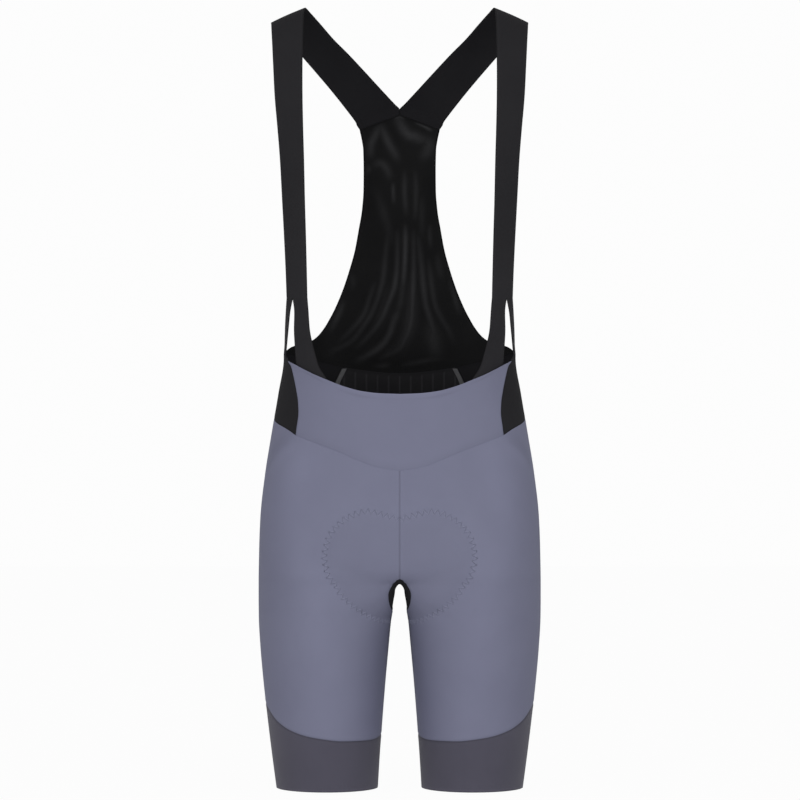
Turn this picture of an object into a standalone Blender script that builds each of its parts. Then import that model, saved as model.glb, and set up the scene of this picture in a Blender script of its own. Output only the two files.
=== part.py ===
"""Cycling bib shorts, filled out as worn.

The garment is a set of thin cloth panels, each with its own wall, laid over the
surface of a plain general figure: an oval trunk that forks into two oval legs.
Sizes are in millimetres and are scaled to metres as the meshes are made. The
origin is at the top of the shoulder straps, on the middle plane; +Z is up, the
front faces -Y and the wearer's left side is +X.

A place on the figure is given by its height and its turn: 0 on the middle of
the front (or on the inside of the leg), 0.5 on the outer side, 1 on the middle
of the back.
"""

import math
from collections import namedtuple

import bpy
from mathutils import Vector

MM = 0.001
WALL = 1.2
SEAM_GAP = 0.3
LAYER_CLEARANCE = 0.9
HEM_HEIGHT = -934.5
SADDLE_HEIGHT = -687.0
ARCH_RADIUS = 2.5
PINCH_RISE = 5.0
TRUNK_BLEND = 110.0
LEG_ROUNDING = 50.0
SIDE_SEAM_TURN = 0.62
PAD_THICKNESS = 4.5
PAD_EDGE = 0.4
TAPE_WIDTH = 6.0
TAPE_THICKNESS = 1.0
TAPE_STOP = 1.5

# ---------------------------------------------------------------- the figure

Ring = namedtuple("Ring", "height half_width front back gap")
FIGURE = [
    Ring(-100, 166.0, 100, 93, 0),
    Ring(-160, 160.0, 100, 101, 0),
    Ring(-240, 150.0, 98, 103, 0),
    Ring(-320, 142.0, 95, 95, 0),
    Ring(-380, 138.5, 94, 86, 0),
    Ring(-420, 138.5, 96, 84, 0),
    Ring(-463, 145.0, 100, 88, 0),
    Ring(-510, 153.0, 105, 98, 0),
    Ring(-560, 161.0, 110, 112, 0),
    Ring(-610, 166.5, 112, 120, 0),
    Ring(-650, 168.0, 110.5, 121, 0),
    Ring(-690, 168.6, 107, 116, 3.9),
    Ring(-705, 168.6, 105, 112.5, 7.3),
    Ring(-730, 168.4, 101, 105.5, 10.5),
    Ring(-765, 166.5, 94.5, 95, 13.8),
    Ring(-805, 163.0, 86.5, 84, 17.4),
    Ring(-850, 158.0, 78, 73.5, 21.0),
    Ring(-895, 152.5, 70.5, 65, 24.3),
    Ring(-940, 146.5, 66, 60, 27.0),
]

# The stretched cloth spans the hollow between the legs. power is how deep the hollow is at a
# height: 1 leaves each leg an oval on its inner side, 0 spans the legs flat. The pad, which is
# thick, lies on a softer form than the cloth.
Span = namedtuple("Span", "height power")
CLOTH_FORM = [
    Span(-670, 0.0), Span(-678, 0.04), Span(-687, 0.13), Span(-707, 0.25), Span(-727, 0.42),
    Span(-747, 0.63), Span(-767, 0.83), Span(-800, 1.0),
]
PAD_FORM = [
    Span(-645, 0.0), Span(-663, 0.14), Span(-687, 0.38), Span(-707, 0.46), Span(-727, 0.58),
    Span(-747, 0.74), Span(-767, 0.89), Span(-800, 1.0),
]

# Seam lines, as the height of the seam at each turn round the figure.
Seam = namedtuple("Seam", "turn height")
WAIST_EDGE = [
    Seam(0.0, -463.4), Seam(0.05, -462.6), Seam(0.1, -460.0), Seam(0.15, -454.5),
    Seam(0.2, -447.5), Seam(0.25, -440.8), Seam(0.3, -434.3), Seam(0.35, -428.6),
    Seam(0.412, -423.5),
]
BELLY_BOTTOM = [
    Seam(0.0, -553.5), Seam(0.05, -549.5), Seam(0.1, -541.0), Seam(0.15, -531.5),
    Seam(0.2, -524.0), Seam(0.25, -517.5), Seam(0.297, -512.0),
]
SIDE_BOTTOM = [
    Seam(0.297, -512.0), Seam(0.33, -506.5), Seam(0.37, -502.0), Seam(0.44, -496.5),
    Seam(0.5, -492.0), Seam(0.62, -484.0), Seam(0.82, -478.0), Seam(1.0, -476.0),
]
SIDE_TOP = [
    Seam(0.412, -423.5), Seam(0.44, -417.2), Seam(0.53, -414.0), Seam(0.65, -417.5),
    Seam(0.76, -424.5), Seam(0.839, -430.5), Seam(0.92, -434.0), Seam(1.0, -437.4),
]
GRIPPER_TOP = [
    Seam(0.0, -870.0), Seam(0.05, -873.0), Seam(0.1, -874.5), Seam(0.2, -873.8),
    Seam(0.25, -871.5), Seam(0.3, -868.0), Seam(0.35, -862.0), Seam(0.4, -852.5),
    Seam(0.45, -839.5), Seam(0.5, -832.5), Seam(0.55, -837.0), Seam(0.62, -852.0),
    Seam(0.7, -864.0), Seam(0.8, -871.0), Seam(0.9, -872.5), Seam(1.0, -870.0),
]

# Seam lines that run down the figure, as the turn of the seam at each height.
Edge = namedtuple("Edge", "height turn")
BELLY_SIDE = [
    Edge(-423.5, 0.412), Edge(-430.0, 0.38), Edge(-442.0, 0.352), Edge(-457.0, 0.325),
    Edge(-474.0, 0.305), Edge(-491.0, 0.296), Edge(-512.0, 0.297),
]
LUMBAR_SIDE = [Edge(-430.5, 0.839), Edge(-450.0, 0.822), Edge(-478.0, 0.812)]
GUSSET_MIDDLE = [-681, -683.2, -684.6, -685.6, -686.3, -686.7, -686.92, -686.98, -687]
PAD_EDGE_LINE = [
    Edge(-622, 0.168), Edge(-632, 0.187), Edge(-641, 0.2015), Edge(-654, 0.2165),
    Edge(-667, 0.226), Edge(-680, 0.2305), Edge(-691, 0.228), Edge(-702, 0.2135),
    Edge(-715, 0.179), Edge(-725, 0.14), Edge(-731, 0.0955), Edge(-734, 0.045),
    Edge(-735, 0.0),
]
PAD_MIDDLE = [-609.6, -622, -634, -646, -657, -666, -672.5, -678, -681.5, -684.3, -686.0, -686.8, -687]
PAD_LOBE = 11.5

# The gusset's seam, as the angle round the leg's oval at each height.
Swing = namedtuple("Swing", "height angle")
GUSSET_SEAM = [
    Swing(-681.0, 0.6), Swing(-684.3, 0.487), Swing(-687.0, 0.468), Swing(-691.5, 0.505),
    Swing(-698.0, 0.532), Swing(-706.0, 0.475), Swing(-716.0, 0.3), Swing(-721.0, 0.1),
    Swing(-724.0, 0.0),
]
LOBED_ROWS = 3


def ease(value):
    """Smooth step from 0 to 1."""
    value = min(max(value, 0.0), 1.0)
    return value * value * (3.0 - 2.0 * value)


def read(table, key, column, at):
    """Smooth value of a table's column where its key column equals at, without overshoot."""
    rows = sorted(table, key=lambda row: getattr(row, key))
    xs = [getattr(row, key) for row in rows]
    ys = [getattr(row, column) for row in rows]
    at = min(max(at, xs[0]), xs[-1])
    i = 0
    while i < len(xs) - 2 and at > xs[i + 1]:
        i += 1

    def slope(k):
        if k == 0:
            return (ys[1] - ys[0]) / (xs[1] - xs[0])
        if k == len(xs) - 1:
            return (ys[-1] - ys[-2]) / (xs[-1] - xs[-2])
        before = (ys[k] - ys[k - 1]) / (xs[k] - xs[k - 1])
        after = (ys[k + 1] - ys[k]) / (xs[k + 1] - xs[k])
        if before * after <= 0.0:
            return 0.0
        return 2.0 * before * after / (before + after)

    span = xs[i + 1] - xs[i]
    s = (at - xs[i]) / span
    low = ys[i] * (1 + 2 * s) * (1 - s) ** 2 + slope(i) * span * s * (1 - s) ** 2
    high = ys[i + 1] * s * s * (3 - 2 * s) + slope(i + 1) * span * s * s * (s - 1)
    return low + high


def leg_gap(height):
    """Half of the space between the legs: a tight arch under the saddle, then the table."""
    drop = SADDLE_HEIGHT - height
    if drop <= 0.0:
        return 0.0
    arch = math.sqrt(2.0 * ARCH_RADIUS * drop)
    share = ease((drop - 4.0) / 11.0)
    return (1.0 - share) * arch + share * read(FIGURE, "height", "gap", height)


def pinch(height):
    """How far the leg's oval is cut back at the middle plane above the saddle."""
    rise = height - SADDLE_HEIGHT
    if rise <= 0.0:
        return 0.0
    most = read(FIGURE, "height", "half_width", height) / math.sqrt(3.0)
    cut = math.sqrt(2.0 * ARCH_RADIUS * rise + PINCH_RISE * rise * rise)
    return cut / math.hypot(1.0, cut / most)


def leg_radius(height):
    """Half width of one leg's oval, so that its outer side is the figure's half width."""
    half_width = read(FIGURE, "height", "half_width", height)
    if height > SADDLE_HEIGHT:
        return math.hypot(half_width, pinch(height)) / 2.0
    gap = leg_gap(height)
    mix = ease((SADDLE_HEIGHT - height) / LEG_ROUNDING)
    return (math.sqrt((mix * gap) ** 2 + half_width ** 2 - gap ** 2) - mix * gap) / 2.0


def first_angle(height):
    """Angle round the leg's oval at which the middle plane cuts it."""
    return math.acos(max(1.0 - pinch(height) / leg_radius(height), -1.0))


def fullness(angle, height, form):
    """Depth of a leg's oval at an angle, as a share of its full depth."""
    if angle >= math.pi / 2.0:
        return math.sin(angle)
    power = read(form, "height", "power", height)
    return math.sin(angle) ** power if power > 0.0 else 1.0


def skin(turn, height, form=CLOTH_FORM):
    """Point of the figure's surface on its left half."""
    behind = turn > 0.5
    near = 1.0 - turn if behind else turn
    sign = 1.0 if behind else -1.0
    depth = read(FIGURE, "height", "back" if behind else "front", height)
    half_width = read(FIGURE, "height", "half_width", height)
    start = first_angle(height)
    angle = math.sqrt(start ** 2 + (math.pi ** 2 - start ** 2) * (2.0 * near) ** 2)
    reach = leg_radius(height) * (1.0 - math.cos(angle))
    across = sign * depth * fullness(angle, height, form)
    if height > SADDLE_HEIGHT:
        out = math.sqrt(max(reach ** 2 - pinch(height) ** 2, 0.0))
        share = ease((height - SADDLE_HEIGHT - 10.0) / TRUNK_BLEND)
        out = (1.0 - share) * out + share * half_width * math.sin(math.pi * near)
        across = (1.0 - share) * across + share * sign * depth * math.cos(math.pi * near)
    else:
        gap = leg_gap(height)
        mix = ease((SADDLE_HEIGHT - height) / LEG_ROUNDING)
        out = math.sqrt(reach ** 2 + 2.0 * mix * reach * gap + gap ** 2)
    return Vector((out, across, height))


def angle_at(turn, height):
    start = first_angle(height)
    return math.sqrt(start ** 2 + (math.pi ** 2 - start ** 2) * (2.0 * turn) ** 2)


def turn_at(angle_squared, height):
    start = first_angle(height)
    share = (angle_squared - start ** 2) / (math.pi ** 2 - start ** 2)
    return 0.5 * math.sqrt(max(share, 0.0))


def under_skin(turn, height, depth):
    """Point that lies depth inside the figure's surface."""
    step = 0.004
    along = skin(min(turn + step, 1.0), height) - skin(max(turn - step, 0.0), height)
    down = skin(turn, height - 1.0) - skin(turn, height + 1.0)
    inward = along.cross(down).normalized()
    return skin(turn, height) + inward * depth


def turn_of_x(x, height, behind=False):
    """Turn at which the trunk's surface has this x."""
    near = math.asin(min(x / read(FIGURE, "height", "half_width", height), 1.0)) / math.pi
    return 1.0 - near if behind else near


# ------------------------------------------------------------ making of cloth


def mirrored(grid):
    """The same grid on the wearer's right half, still running left to right seen from outside."""
    return [[Vector((-p.x, p.y, p.z)) for p in reversed(row)] for row in grid]


def across_middle(left_part, right_part):
    """Two half grids that share their middle column, joined into one."""
    return [a + b[1:] for a, b in zip(left_part, right_part)]


def trimmed(grid, top=True, bottom=True, sides=True, distance=SEAM_GAP / 2.0):
    """Grid drawn back from its seams, square to each, along its outer rows and columns."""
    grid = [[p.copy() for p in row] for row in grid]

    def pull(edge, inner):
        moves = []
        for k, (a, b) in enumerate(zip(edge, inner)):
            along = (edge[min(k + 1, len(edge) - 1)] - edge[max(k - 1, 0)]).normalized()
            into = b - a
            moves.append((into - along * into.dot(along)).normalized() * distance)
        for a, move in zip(edge, moves):
            a += move

    if top:
        pull(grid[0], grid[1])
    if bottom:
        pull(grid[-1], grid[-2])
    if sides:
        pull([row[0] for row in grid], [row[1] for row in grid])
        pull([row[-1] for row in grid], [row[-2] for row in grid])
    return grid


def coons(top, bottom, left, right, columns, rows):
    """Grid of (turn, height) pairs between four boundary lines, each a function of 0..1.

    columns and rows list the shares at which the grid's lines lie.
    """
    grid = []
    for v in rows:
        line = []
        for u in columns:
            pair = []
            for k in (0, 1):
                ruled = (1 - v) * top(u)[k] + v * bottom(u)[k] + (1 - u) * left(v)[k] + u * right(v)[k]
                ends = (1 - v) * ((1 - u) * top(0)[k] + u * top(1)[k])
                ends += v * ((1 - u) * bottom(0)[k] + u * bottom(1)[k])
                pair.append(ruled - ends)
            line.append(tuple(pair))
        grid.append(line)
    return grid


def even(count):
    """Shares 0..1 in equal steps."""
    return [i / count for i in range(count + 1)]


def on_skin(pairs):
    return [[skin(turn, height) for turn, height in line] for line in pairs]


def material(name, colour, roughness):
    made = bpy.data.materials.new(name)
    made.use_nodes = True
    shader = made.node_tree.nodes["Principled BSDF"]
    shader.inputs["Base Color"].default_value = (*colour, 1.0)
    shader.inputs["Roughness"].default_value = roughness
    shader.inputs["Metallic"].default_value = 0.0
    return made


def cloth(name, grids, finish, thickness=WALL, closed=False, edge_factor=None):
    """Object whose wall has the surface through the grids as its middle.

    Grids that share points are joined there. The outer face is the one seen with rows
    running down and columns running left to right. With edge_factor the wall thins to
    that share of its thickness along the grid's border.
    """
    points = []
    index = {}
    faces = []
    border = set()
    for grid in grids:
        numbers = []
        for i, row in enumerate(grid):
            line = []
            for j, point in enumerate(row):
                spot = tuple(round(value, 3) for value in point)
                if spot not in index:
                    index[spot] = len(points)
                    points.append(point * MM)
                line.append(index[spot])
                if i in (0, len(grid) - 1) or j in (0, len(row) - 1):
                    border.add(index[spot])
            numbers.append(line + line[:1] if closed else line)
        for upper, lower in zip(numbers, numbers[1:]):
            for j in range(len(upper) - 1):
                faces.append((upper[j], lower[j], lower[j + 1], upper[j + 1]))
    mesh = bpy.data.meshes.new(name)
    mesh.from_pydata(points, [], faces)
    mesh.shade_smooth()
    mesh.materials.append(finish)
    item = bpy.data.objects.new(name, mesh)
    collection.objects.link(item)
    wall = item.modifiers.new("wall", "SOLIDIFY")
    wall.thickness = thickness * MM
    wall.offset = 0.0
    wall.use_even_offset = True
    if edge_factor is not None:
        group = item.vertex_groups.new(name="full thickness")
        group.add([i for i in range(len(points)) if i not in border], 1.0, "REPLACE")
        wall.vertex_group = group.name
        wall.thickness_vertex_group = edge_factor
    return item


def both_sides(name, make, finish, **options):
    """The wearer's left piece and its mirror image on the right."""
    grids = make()
    cloth(name + "_left", grids, finish, **options)
    cloth(name + "_right", [mirrored(grid) for grid in grids], finish, **options)


# ------------------------------------------------------------------ the pieces

# Neighbouring panels meet at the same points: these are the turns of the leg panels' columns
# where they meet the belly, side and lumbar panels, and the rows of the panels round the hips.
BELLY_COLUMNS = 8
HIP_COLUMNS = 8
SIDE_BACK_COLUMNS = 5
LUMBAR_COLUMNS = 5
HIP_ROWS = 6
CORNER = Seam(0.53, -414.0)
CORNER_COLUMN = 4


def between(first, last, count):
    return [first + (last - first) * i / count for i in range(count + 1)]


BELLY_TURNS = between(0.0, BELLY_BOTTOM[-1].turn, BELLY_COLUMNS)
HIP_TURNS = between(BELLY_BOTTOM[-1].turn, SIDE_SEAM_TURN, HIP_COLUMNS)
SIDE_BACK_TURNS = between(SIDE_SEAM_TURN, LUMBAR_SIDE[-1].turn, SIDE_BACK_COLUMNS)
LUMBAR_TURNS = between(LUMBAR_SIDE[-1].turn, 1.0, LUMBAR_COLUMNS)
LEG_TURNS = BELLY_TURNS + HIP_TURNS[1:]
SEAT_TURNS = SIDE_BACK_TURNS + LUMBAR_TURNS[1:]
SIDE_TURNS = HIP_TURNS + SIDE_BACK_TURNS[1:]
SIDE_TOP_TURNS = between(SIDE_TOP[0].turn, CORNER.turn, CORNER_COLUMN)
SIDE_TOP_TURNS += between(CORNER.turn, LUMBAR_SIDE[0].turn, len(SIDE_TURNS) - 1 - CORNER_COLUMN)[1:]
LUMBAR_TOP_TURNS = between(LUMBAR_SIDE[0].turn, 1.0, LUMBAR_COLUMNS)


def listed(turns, share, shares):
    """Value of a list of turns at a share of its length, straight between its entries."""
    for k in range(len(shares) - 1):
        if share <= shares[k + 1]:
            part = (share - shares[k]) / (shares[k + 1] - shares[k])
            return turns[k] + (turns[k + 1] - turns[k]) * part
    return turns[-1]


def belly_grid():
    """Front panel from the clean-cut waist edge down to the leg panels."""
    def side(v):
        height = WAIST_EDGE[-1].height + v * (BELLY_BOTTOM[-1].height - WAIST_EDGE[-1].height)
        return read(BELLY_SIDE, "height", "turn", height), height

    def top(u):
        turn = u * WAIST_EDGE[-1].turn
        return turn, read(WAIST_EDGE, "turn", "height", turn)

    def bottom(u):
        turn = u * BELLY_BOTTOM[-1].turn
        return turn, read(BELLY_BOTTOM, "turn", "height", turn)

    def middle(v):
        return 0.0, WAIST_EDGE[0].height + v * (BELLY_BOTTOM[0].height - WAIST_EDGE[0].height)

    half = on_skin(coons(top, bottom, middle, side, even(BELLY_COLUMNS), even(HIP_ROWS)))
    return trimmed(across_middle(mirrored(half), half))


def side_grid():
    """Black panel on the hip, from the belly panel round to the lumbar panel."""
    def front(v):
        height = BELLY_SIDE[0].height + v * (BELLY_SIDE[-1].height - BELLY_SIDE[0].height)
        return read(BELLY_SIDE, "height", "turn", height), height

    def back(v):
        height = LUMBAR_SIDE[0].height + v * (LUMBAR_SIDE[-1].height - LUMBAR_SIDE[0].height)
        return read(LUMBAR_SIDE, "height", "turn", height), height

    shares = even(len(SIDE_TURNS) - 1)

    def top(u):
        turn = listed(SIDE_TOP_TURNS, u, shares)
        return turn, read(SIDE_TOP, "turn", "height", turn)

    def bottom(u):
        turn = listed(SIDE_TURNS, u, shares)
        return turn, read(SIDE_BOTTOM, "turn", "height", turn)

    return [trimmed(on_skin(coons(top, bottom, front, back, shares, even(HIP_ROWS))))]


def lumbar_grid():
    """Panel across the small of the back, under the mesh."""
    def side(v):
        height = LUMBAR_SIDE[0].height + v * (LUMBAR_SIDE[-1].height - LUMBAR_SIDE[0].height)
        return read(LUMBAR_SIDE, "height", "turn", height), height

    def top(u):
        turn = LUMBAR_SIDE[0].turn + u * (1.0 - LUMBAR_SIDE[0].turn)
        return turn, read(SIDE_TOP, "turn", "height", turn)

    def bottom(u):
        turn = LUMBAR_SIDE[-1].turn + u * (1.0 - LUMBAR_SIDE[-1].turn)
        return turn, read(SIDE_BOTTOM, "turn", "height", turn)

    def middle(v):
        return 1.0, SIDE_TOP[-1].height + v * (SIDE_BOTTOM[-1].height - SIDE_TOP[-1].height)

    half = on_skin(coons(top, bottom, side, middle, even(LUMBAR_COLUMNS), even(HIP_ROWS)))
    return trimmed(across_middle(half, mirrored(half)))


MeshEdge = namedtuple("MeshEdge", "height half_width")
MESH_EDGE = [
    MeshEdge(-139.6, 49.0), MeshEdge(-152, 46.3), MeshEdge(-164, 44.6), MeshEdge(-190, 44.1),
    MeshEdge(-213, 44.3), MeshEdge(-238, 46.2), MeshEdge(-262, 50.2), MeshEdge(-287, 54.7),
    MeshEdge(-311, 61.2), MeshEdge(-336, 69.3), MeshEdge(-360, 79.2), MeshEdge(-372, 85.3),
    MeshEdge(-384.6, 92.8), MeshEdge(-397.5, 105.0), MeshEdge(-405.6, 129.0),
]
MESH_TOP_MIDDLE = -120.9
MESH_ROWS = 32

# Drape folds of the mesh: each runs down from near the middle and swings out to one side,
# late on its way where swing is high.
Fold = namedtuple("Fold", "top_x top_height low_x low_height swing proud width")
MESH_FOLDS = [
    Fold(-29, -313, -74, -400, 2.0, 1.6, 4.2),
    Fold(-12, -262, -89, -418, 2.7, 2.2, 4.6),
    Fold(-2, -266, -56, -412, 3.0, 2.2, 4.6),
    Fold(7, -258, -55, -424, 4.0, 2.4, 4.6),
    Fold(17, -266, -26, -421, 5.0, 2.4, 4.8),
    Fold(22, -266, 39, -418, 1.0, 2.2, 4.8),
    Fold(36, -290, 67, -402, 2.6, 2.0, 4.4),
    Fold(-24, -140, -3, -178, 1.0, 2.0, 6.0),
    Fold(-1, -134, 30, -174, 0.7, 2.0, 7.0),
    Fold(5, -186, 7, -246, 1.0, 1.4, 4.5),
    Fold(19, -186, 18, -250, 1.0, 1.4, 4.5),
    Fold(-26, -212, -16, -262, 1.0, 1.4, 6.0),
]


def mesh_fold(x, height):
    """Height of the folds on the mesh panel at a place on the back."""
    rise = 0.0
    for fold in MESH_FOLDS:
        along = (fold.top_height - height) / (fold.top_height - fold.low_height)
        if 0.0 < along < 1.0:
            line = fold.top_x + (fold.low_x - fold.top_x) * along ** fold.swing
            off = (x - line) / (fold.width * (1.0 + along))
            rise += fold.proud * math.exp(-off * off) * math.sin(math.pi * along) ** 0.5
    return rise


def yoke_height(x):
    """Height of the straight seam between strap and mesh at a distance from the middle."""
    edge = MESH_EDGE[0]
    return MESH_TOP_MIDDLE + (edge.height - MESH_TOP_MIDDLE) * x / edge.half_width


def mesh_grid():
    """Mesh panel of the back, narrow between the shoulder blades and flared to the sides."""
    def side(v):
        height = MESH_EDGE[0].height + v * (CORNER.height - MESH_EDGE[0].height)
        if height < MESH_EDGE[-1].height:
            last = MESH_EDGE[-1]
            start = turn_of_x(last.half_width, last.height, behind=True)
            share = (last.height - height) / (last.height - CORNER.height)
            return start + (CORNER.turn - start) * share, height
        return turn_of_x(read(MESH_EDGE, "height", "half_width", height), height, behind=True), height

    def shaped(v):
        return side(v + 0.03 * math.sin(math.pi * v))

    def top(u):
        start = side(0.0)
        turn = start[0] + u * (1.0 - start[0])
        return turn, yoke_height(skin(turn, MESH_EDGE[0].height).x)

    low_turns = SIDE_TOP_TURNS[CORNER_COLUMN:] + LUMBAR_TOP_TURNS[1:]
    shares = even(len(low_turns) - 1)

    def bottom(u):
        turn = listed(low_turns, u, shares)
        return turn, read(SIDE_TOP, "turn", "height", turn)

    def middle(v):
        return 1.0, MESH_TOP_MIDDLE + v * (SIDE_TOP[-1].height - MESH_TOP_MIDDLE)

    columns, rows = len(low_turns) - 1, MESH_ROWS
    half = on_skin(coons(top, bottom, shaped, middle, shares, even(rows)))
    whole = across_middle(half, mirrored(half))
    for i, row in enumerate(whole):
        for j, point in enumerate(row):
            inset = min(i, rows - i, j, 2 * columns - j) / 2.0
            if inset > 0.0:
                out = Vector((point.x / 3.0, point.y, 0.0)).normalized()
                point -= out * mesh_fold(point.x, point.z) * min(inset, 1.0)
    return trimmed(whole)


LEG_LEVELS = [-605, -627, -645, -660, -669, -676]
BAND_ROWS = 4
THIGH_LEVELS = [-735, -755, -785, -815]


def leg_top(turn):
    if turn < BELLY_BOTTOM[-1].turn:
        return read(BELLY_BOTTOM, "turn", "height", turn)
    return read(SIDE_BOTTOM, "turn", "height", turn)


def leg_rows(first, last, turns):
    """Rows of a leg panel between two seams, each seam's turn a function of the height."""
    def row_at(height_at):
        line = []
        level = height_at(SIDE_SEAM_TURN)
        left, right = first(level), last(level)
        for top_turn in turns:
            turn = left + (right - left) * (top_turn - turns[0]) / (turns[-1] - turns[0])
            line.append(skin(turn, height_at(turn)))
        return line

    rows = []
    for share in (0.0, 0.25, 0.5, 0.75):
        rows.append(row_at(lambda t, s=share: (1 - s) * leg_top(t) + s * LEG_LEVELS[0]))
    levels = LEG_LEVELS + [swing.height for swing in GUSSET_SEAM] + THIGH_LEVELS
    for level in levels:
        rows.append(row_at(lambda t, z=level: z))
    for share in (0.5, 1.0):
        def height_at(t, s=share):
            return (1 - s) * THIGH_LEVELS[-1] + s * read(GRIPPER_TOP, "turn", "height", t)
        rows.append(row_at(height_at))
    return rows


def gusset_turn(height):
    if height > GUSSET_SEAM[0].height or height < GUSSET_SEAM[-1].height:
        return 0.0
    return turn_at(read(GUSSET_SEAM, "height", "angle", height) ** 2, height)


def leg_front_grid():
    """Front leg panel, from the middle seam and the inseam round the thigh to the back of the hip."""
    return [trimmed(leg_rows(gusset_turn, lambda z: SIDE_SEAM_TURN, LEG_TURNS))]


def leg_back_grid():
    """Back leg panel, from the side seam to the middle seam of the seat and the inseam."""
    return [trimmed(leg_rows(lambda z: SIDE_SEAM_TURN, lambda z: 1.0 - gusset_turn(z), SEAT_TURNS))]


def gripper_grid():
    """Leg band, a closed ring from its curved top seam to the level hem."""
    turns = LEG_TURNS + SEAT_TURNS[1:-1]
    rows = []
    for share in even(BAND_ROWS):
        row = []
        for turn in turns:
            top = read(GRIPPER_TOP, "turn", "height", turn)
            row.append(skin(turn, top + (HEM_HEIGHT - top) * share))
        rows.append(row)
    return [trimmed(rows, bottom=False, sides=False)]


def fan(middle, edge, steps, lobe=0.0):
    """Half row over the saddle, from a height on the middle plane out to a (turn, height) edge."""
    start = first_angle(middle)
    end = angle_at(edge.turn, edge.height)
    row = []
    for j in range(steps + 1):
        share = (j / steps) ** 2
        height = middle + (edge.height - middle) * share + lobe * math.sin(math.pi * j / steps)
        squared = start ** 2 + (end ** 2 - start ** 2) * share
        if lobe > 0.0:
            turn = edge.turn * j / steps
        elif height > SADDLE_HEIGHT:
            turn = turn_at(squared, height)
        else:
            turn = math.sqrt(squared) / (2 * math.pi)
        row.append((turn, height))
    return row


def saddle_rows(middles, edges, steps, lobe=0.0, form=CLOTH_FORM):
    """Full rows that cross the saddle from one thigh to the other, front to back."""
    front = []
    for k, (middle, edge) in enumerate(zip(middles, edges)):
        front.append(fan(middle, edge, steps, lobe * max(1.0 - k / LOBED_ROWS, 0.0)))
    back = [[(1.0 - turn, height) for turn, height in row] for row in reversed(front[:-1])]
    rows = []
    for pairs in front + back:
        half = [skin(turn, height, form) for turn, height in pairs]
        half[0].x = 0.0
        rows.append([Vector((-p.x, p.y, p.z)) for p in reversed(half)] + half[1:])
    return rows


def moved_in(rows, distance, border_distance):
    """Rows moved to the inner side of the surface they lie on."""
    moved = []
    for i, row in enumerate(rows):
        line = []
        for j, point in enumerate(row):
            along = row[min(j + 1, len(row) - 1)] - row[max(j - 1, 0)]
            down = rows[min(i + 1, len(rows) - 1)][j] - rows[max(i - 1, 0)][j]
            on_border = i in (0, len(rows) - 1) or j in (0, len(row) - 1)
            depth = border_distance if on_border else distance
            line.append(point + along.cross(down).normalized() * depth)
        moved.append(line)
    return moved


def gusset_grid():
    """Almond-shaped piece over the saddle and down both inner thighs."""
    edge = [Edge(swing.height, gusset_turn(swing.height)) for swing in GUSSET_SEAM]
    return trimmed(saddle_rows(GUSSET_MIDDLE, edge, 5), distance=SEAM_GAP)


def pad_grid():
    """Seat pad, sewn to the inside from the lower belly through the legs to the seat."""
    rows = saddle_rows(PAD_MIDDLE, PAD_EDGE_LINE, 6, PAD_LOBE, PAD_FORM)
    middle = (WALL + PAD_THICKNESS) / 2.0 + 2.0 * LAYER_CLEARANCE
    edge = (WALL + PAD_THICKNESS * PAD_EDGE) / 2.0 + 1.8 * LAYER_CLEARANCE
    return moved_in(rows, middle, edge)


Ribbon = namedtuple("Ribbon", "in_x in_y in_z out_x out_y out_z")
STRAP = [
    Ribbon(0.7, 96.0, -120.5, 49.0, 93.8, -139.3),
    Ribbon(0.7, 95.2, -113.9, 52.3, 92.5, -134.5),
    Ribbon(7.0, 93.0, -107.0, 54.8, 91.0, -129.0),
    Ribbon(22.0, 85.5, -91.5, 66.0, 85.5, -114.5),
    Ribbon(42.0, 75.0, -70.5, 81.5, 76.5, -95.5),
    Ribbon(62.0, 63.0, -50.0, 98.5, 64.5, -76.0),
    Ribbon(80.0, 50.0, -33.0, 117.0, 51.0, -55.5),
    Ribbon(95.0, 33.0, -17.0, 134.0, 35.0, -37.0),
    Ribbon(106.5, 15.0, -5.5, 146.5, 17.0, -24.0),
    Ribbon(113.0, -5.0, -0.6, 153.2, -5.0, -18.6),
    Ribbon(114.4, -25.0, -9.0, 153.0, -25.0, -25.0),
    Ribbon(114.8, -45.0, -34.0, 151.6, -43.0, -44.0),
    Ribbon(115.0, -61.0, -72.0, 149.8, -57.0, -74.0),
    Ribbon(114.7, -71.5, -112.0, 147.6, -65.0, -112.0),
    Ribbon(113.9, -76.0, -150.0, 144.2, -66.0, -150.0),
    Ribbon(112.9, -77.0, -187.0, 141.3, -63.0, -187.0),
    Ribbon(112.0, -75.5, -234.0, 138.9, -57.0, -234.0),
    Ribbon(110.9, -73.0, -276.0, 136.8, -51.5, -276.0),
    Ribbon(110.0, -70.5, -317.0, 135.0, -46.0, -317.0),
    Ribbon(109.4, -68.0, -349.0, 134.0, -42.0, -349.0),
]
STRAP_COLUMNS = 4
FORK_COLUMN = 2
FORK_SHARE = 0.66
FORK_ROWS = 4
STRAP_CROWN = 1.5

# Below the fork the front tail runs inside the belly panel, the rear tail to the side panel.
FRONT_TAIL = [
    Ribbon(108.2, -67.0, -364.0, 124.8, -48.5, -364.0),
    Ribbon(106.6, -65.5, -387.0, 125.2, -44.0, -387.0),
    Ribbon(103.6, -62.9, -403.0, 124.6, -39.6, -403.0),
]
Tail = namedtuple("Tail", "height in_x out_x")
HIDDEN_TAIL = [
    Tail(-418, 101.4, 126.0), Tail(-431, 97.0, 125.0), Tail(-444, 88.5, 122.5), Tail(-458, 80.0, 119.0),
]
TAIL_DEPTH = WALL + 2.0 * LAYER_CLEARANCE
REAR_FOOT = (0.443, 0.526)
REAR_TAIL = [
    Ribbon(130.4, -42.0, -365.0, 135.4, -26.0, -365.0),
    Ribbon(132.4, -32.0, -381.0, 136.6, -13.0, -381.0),
    Ribbon(134.2, -24.0, -397.0, 137.4, -2.5, -397.0),
]


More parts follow.
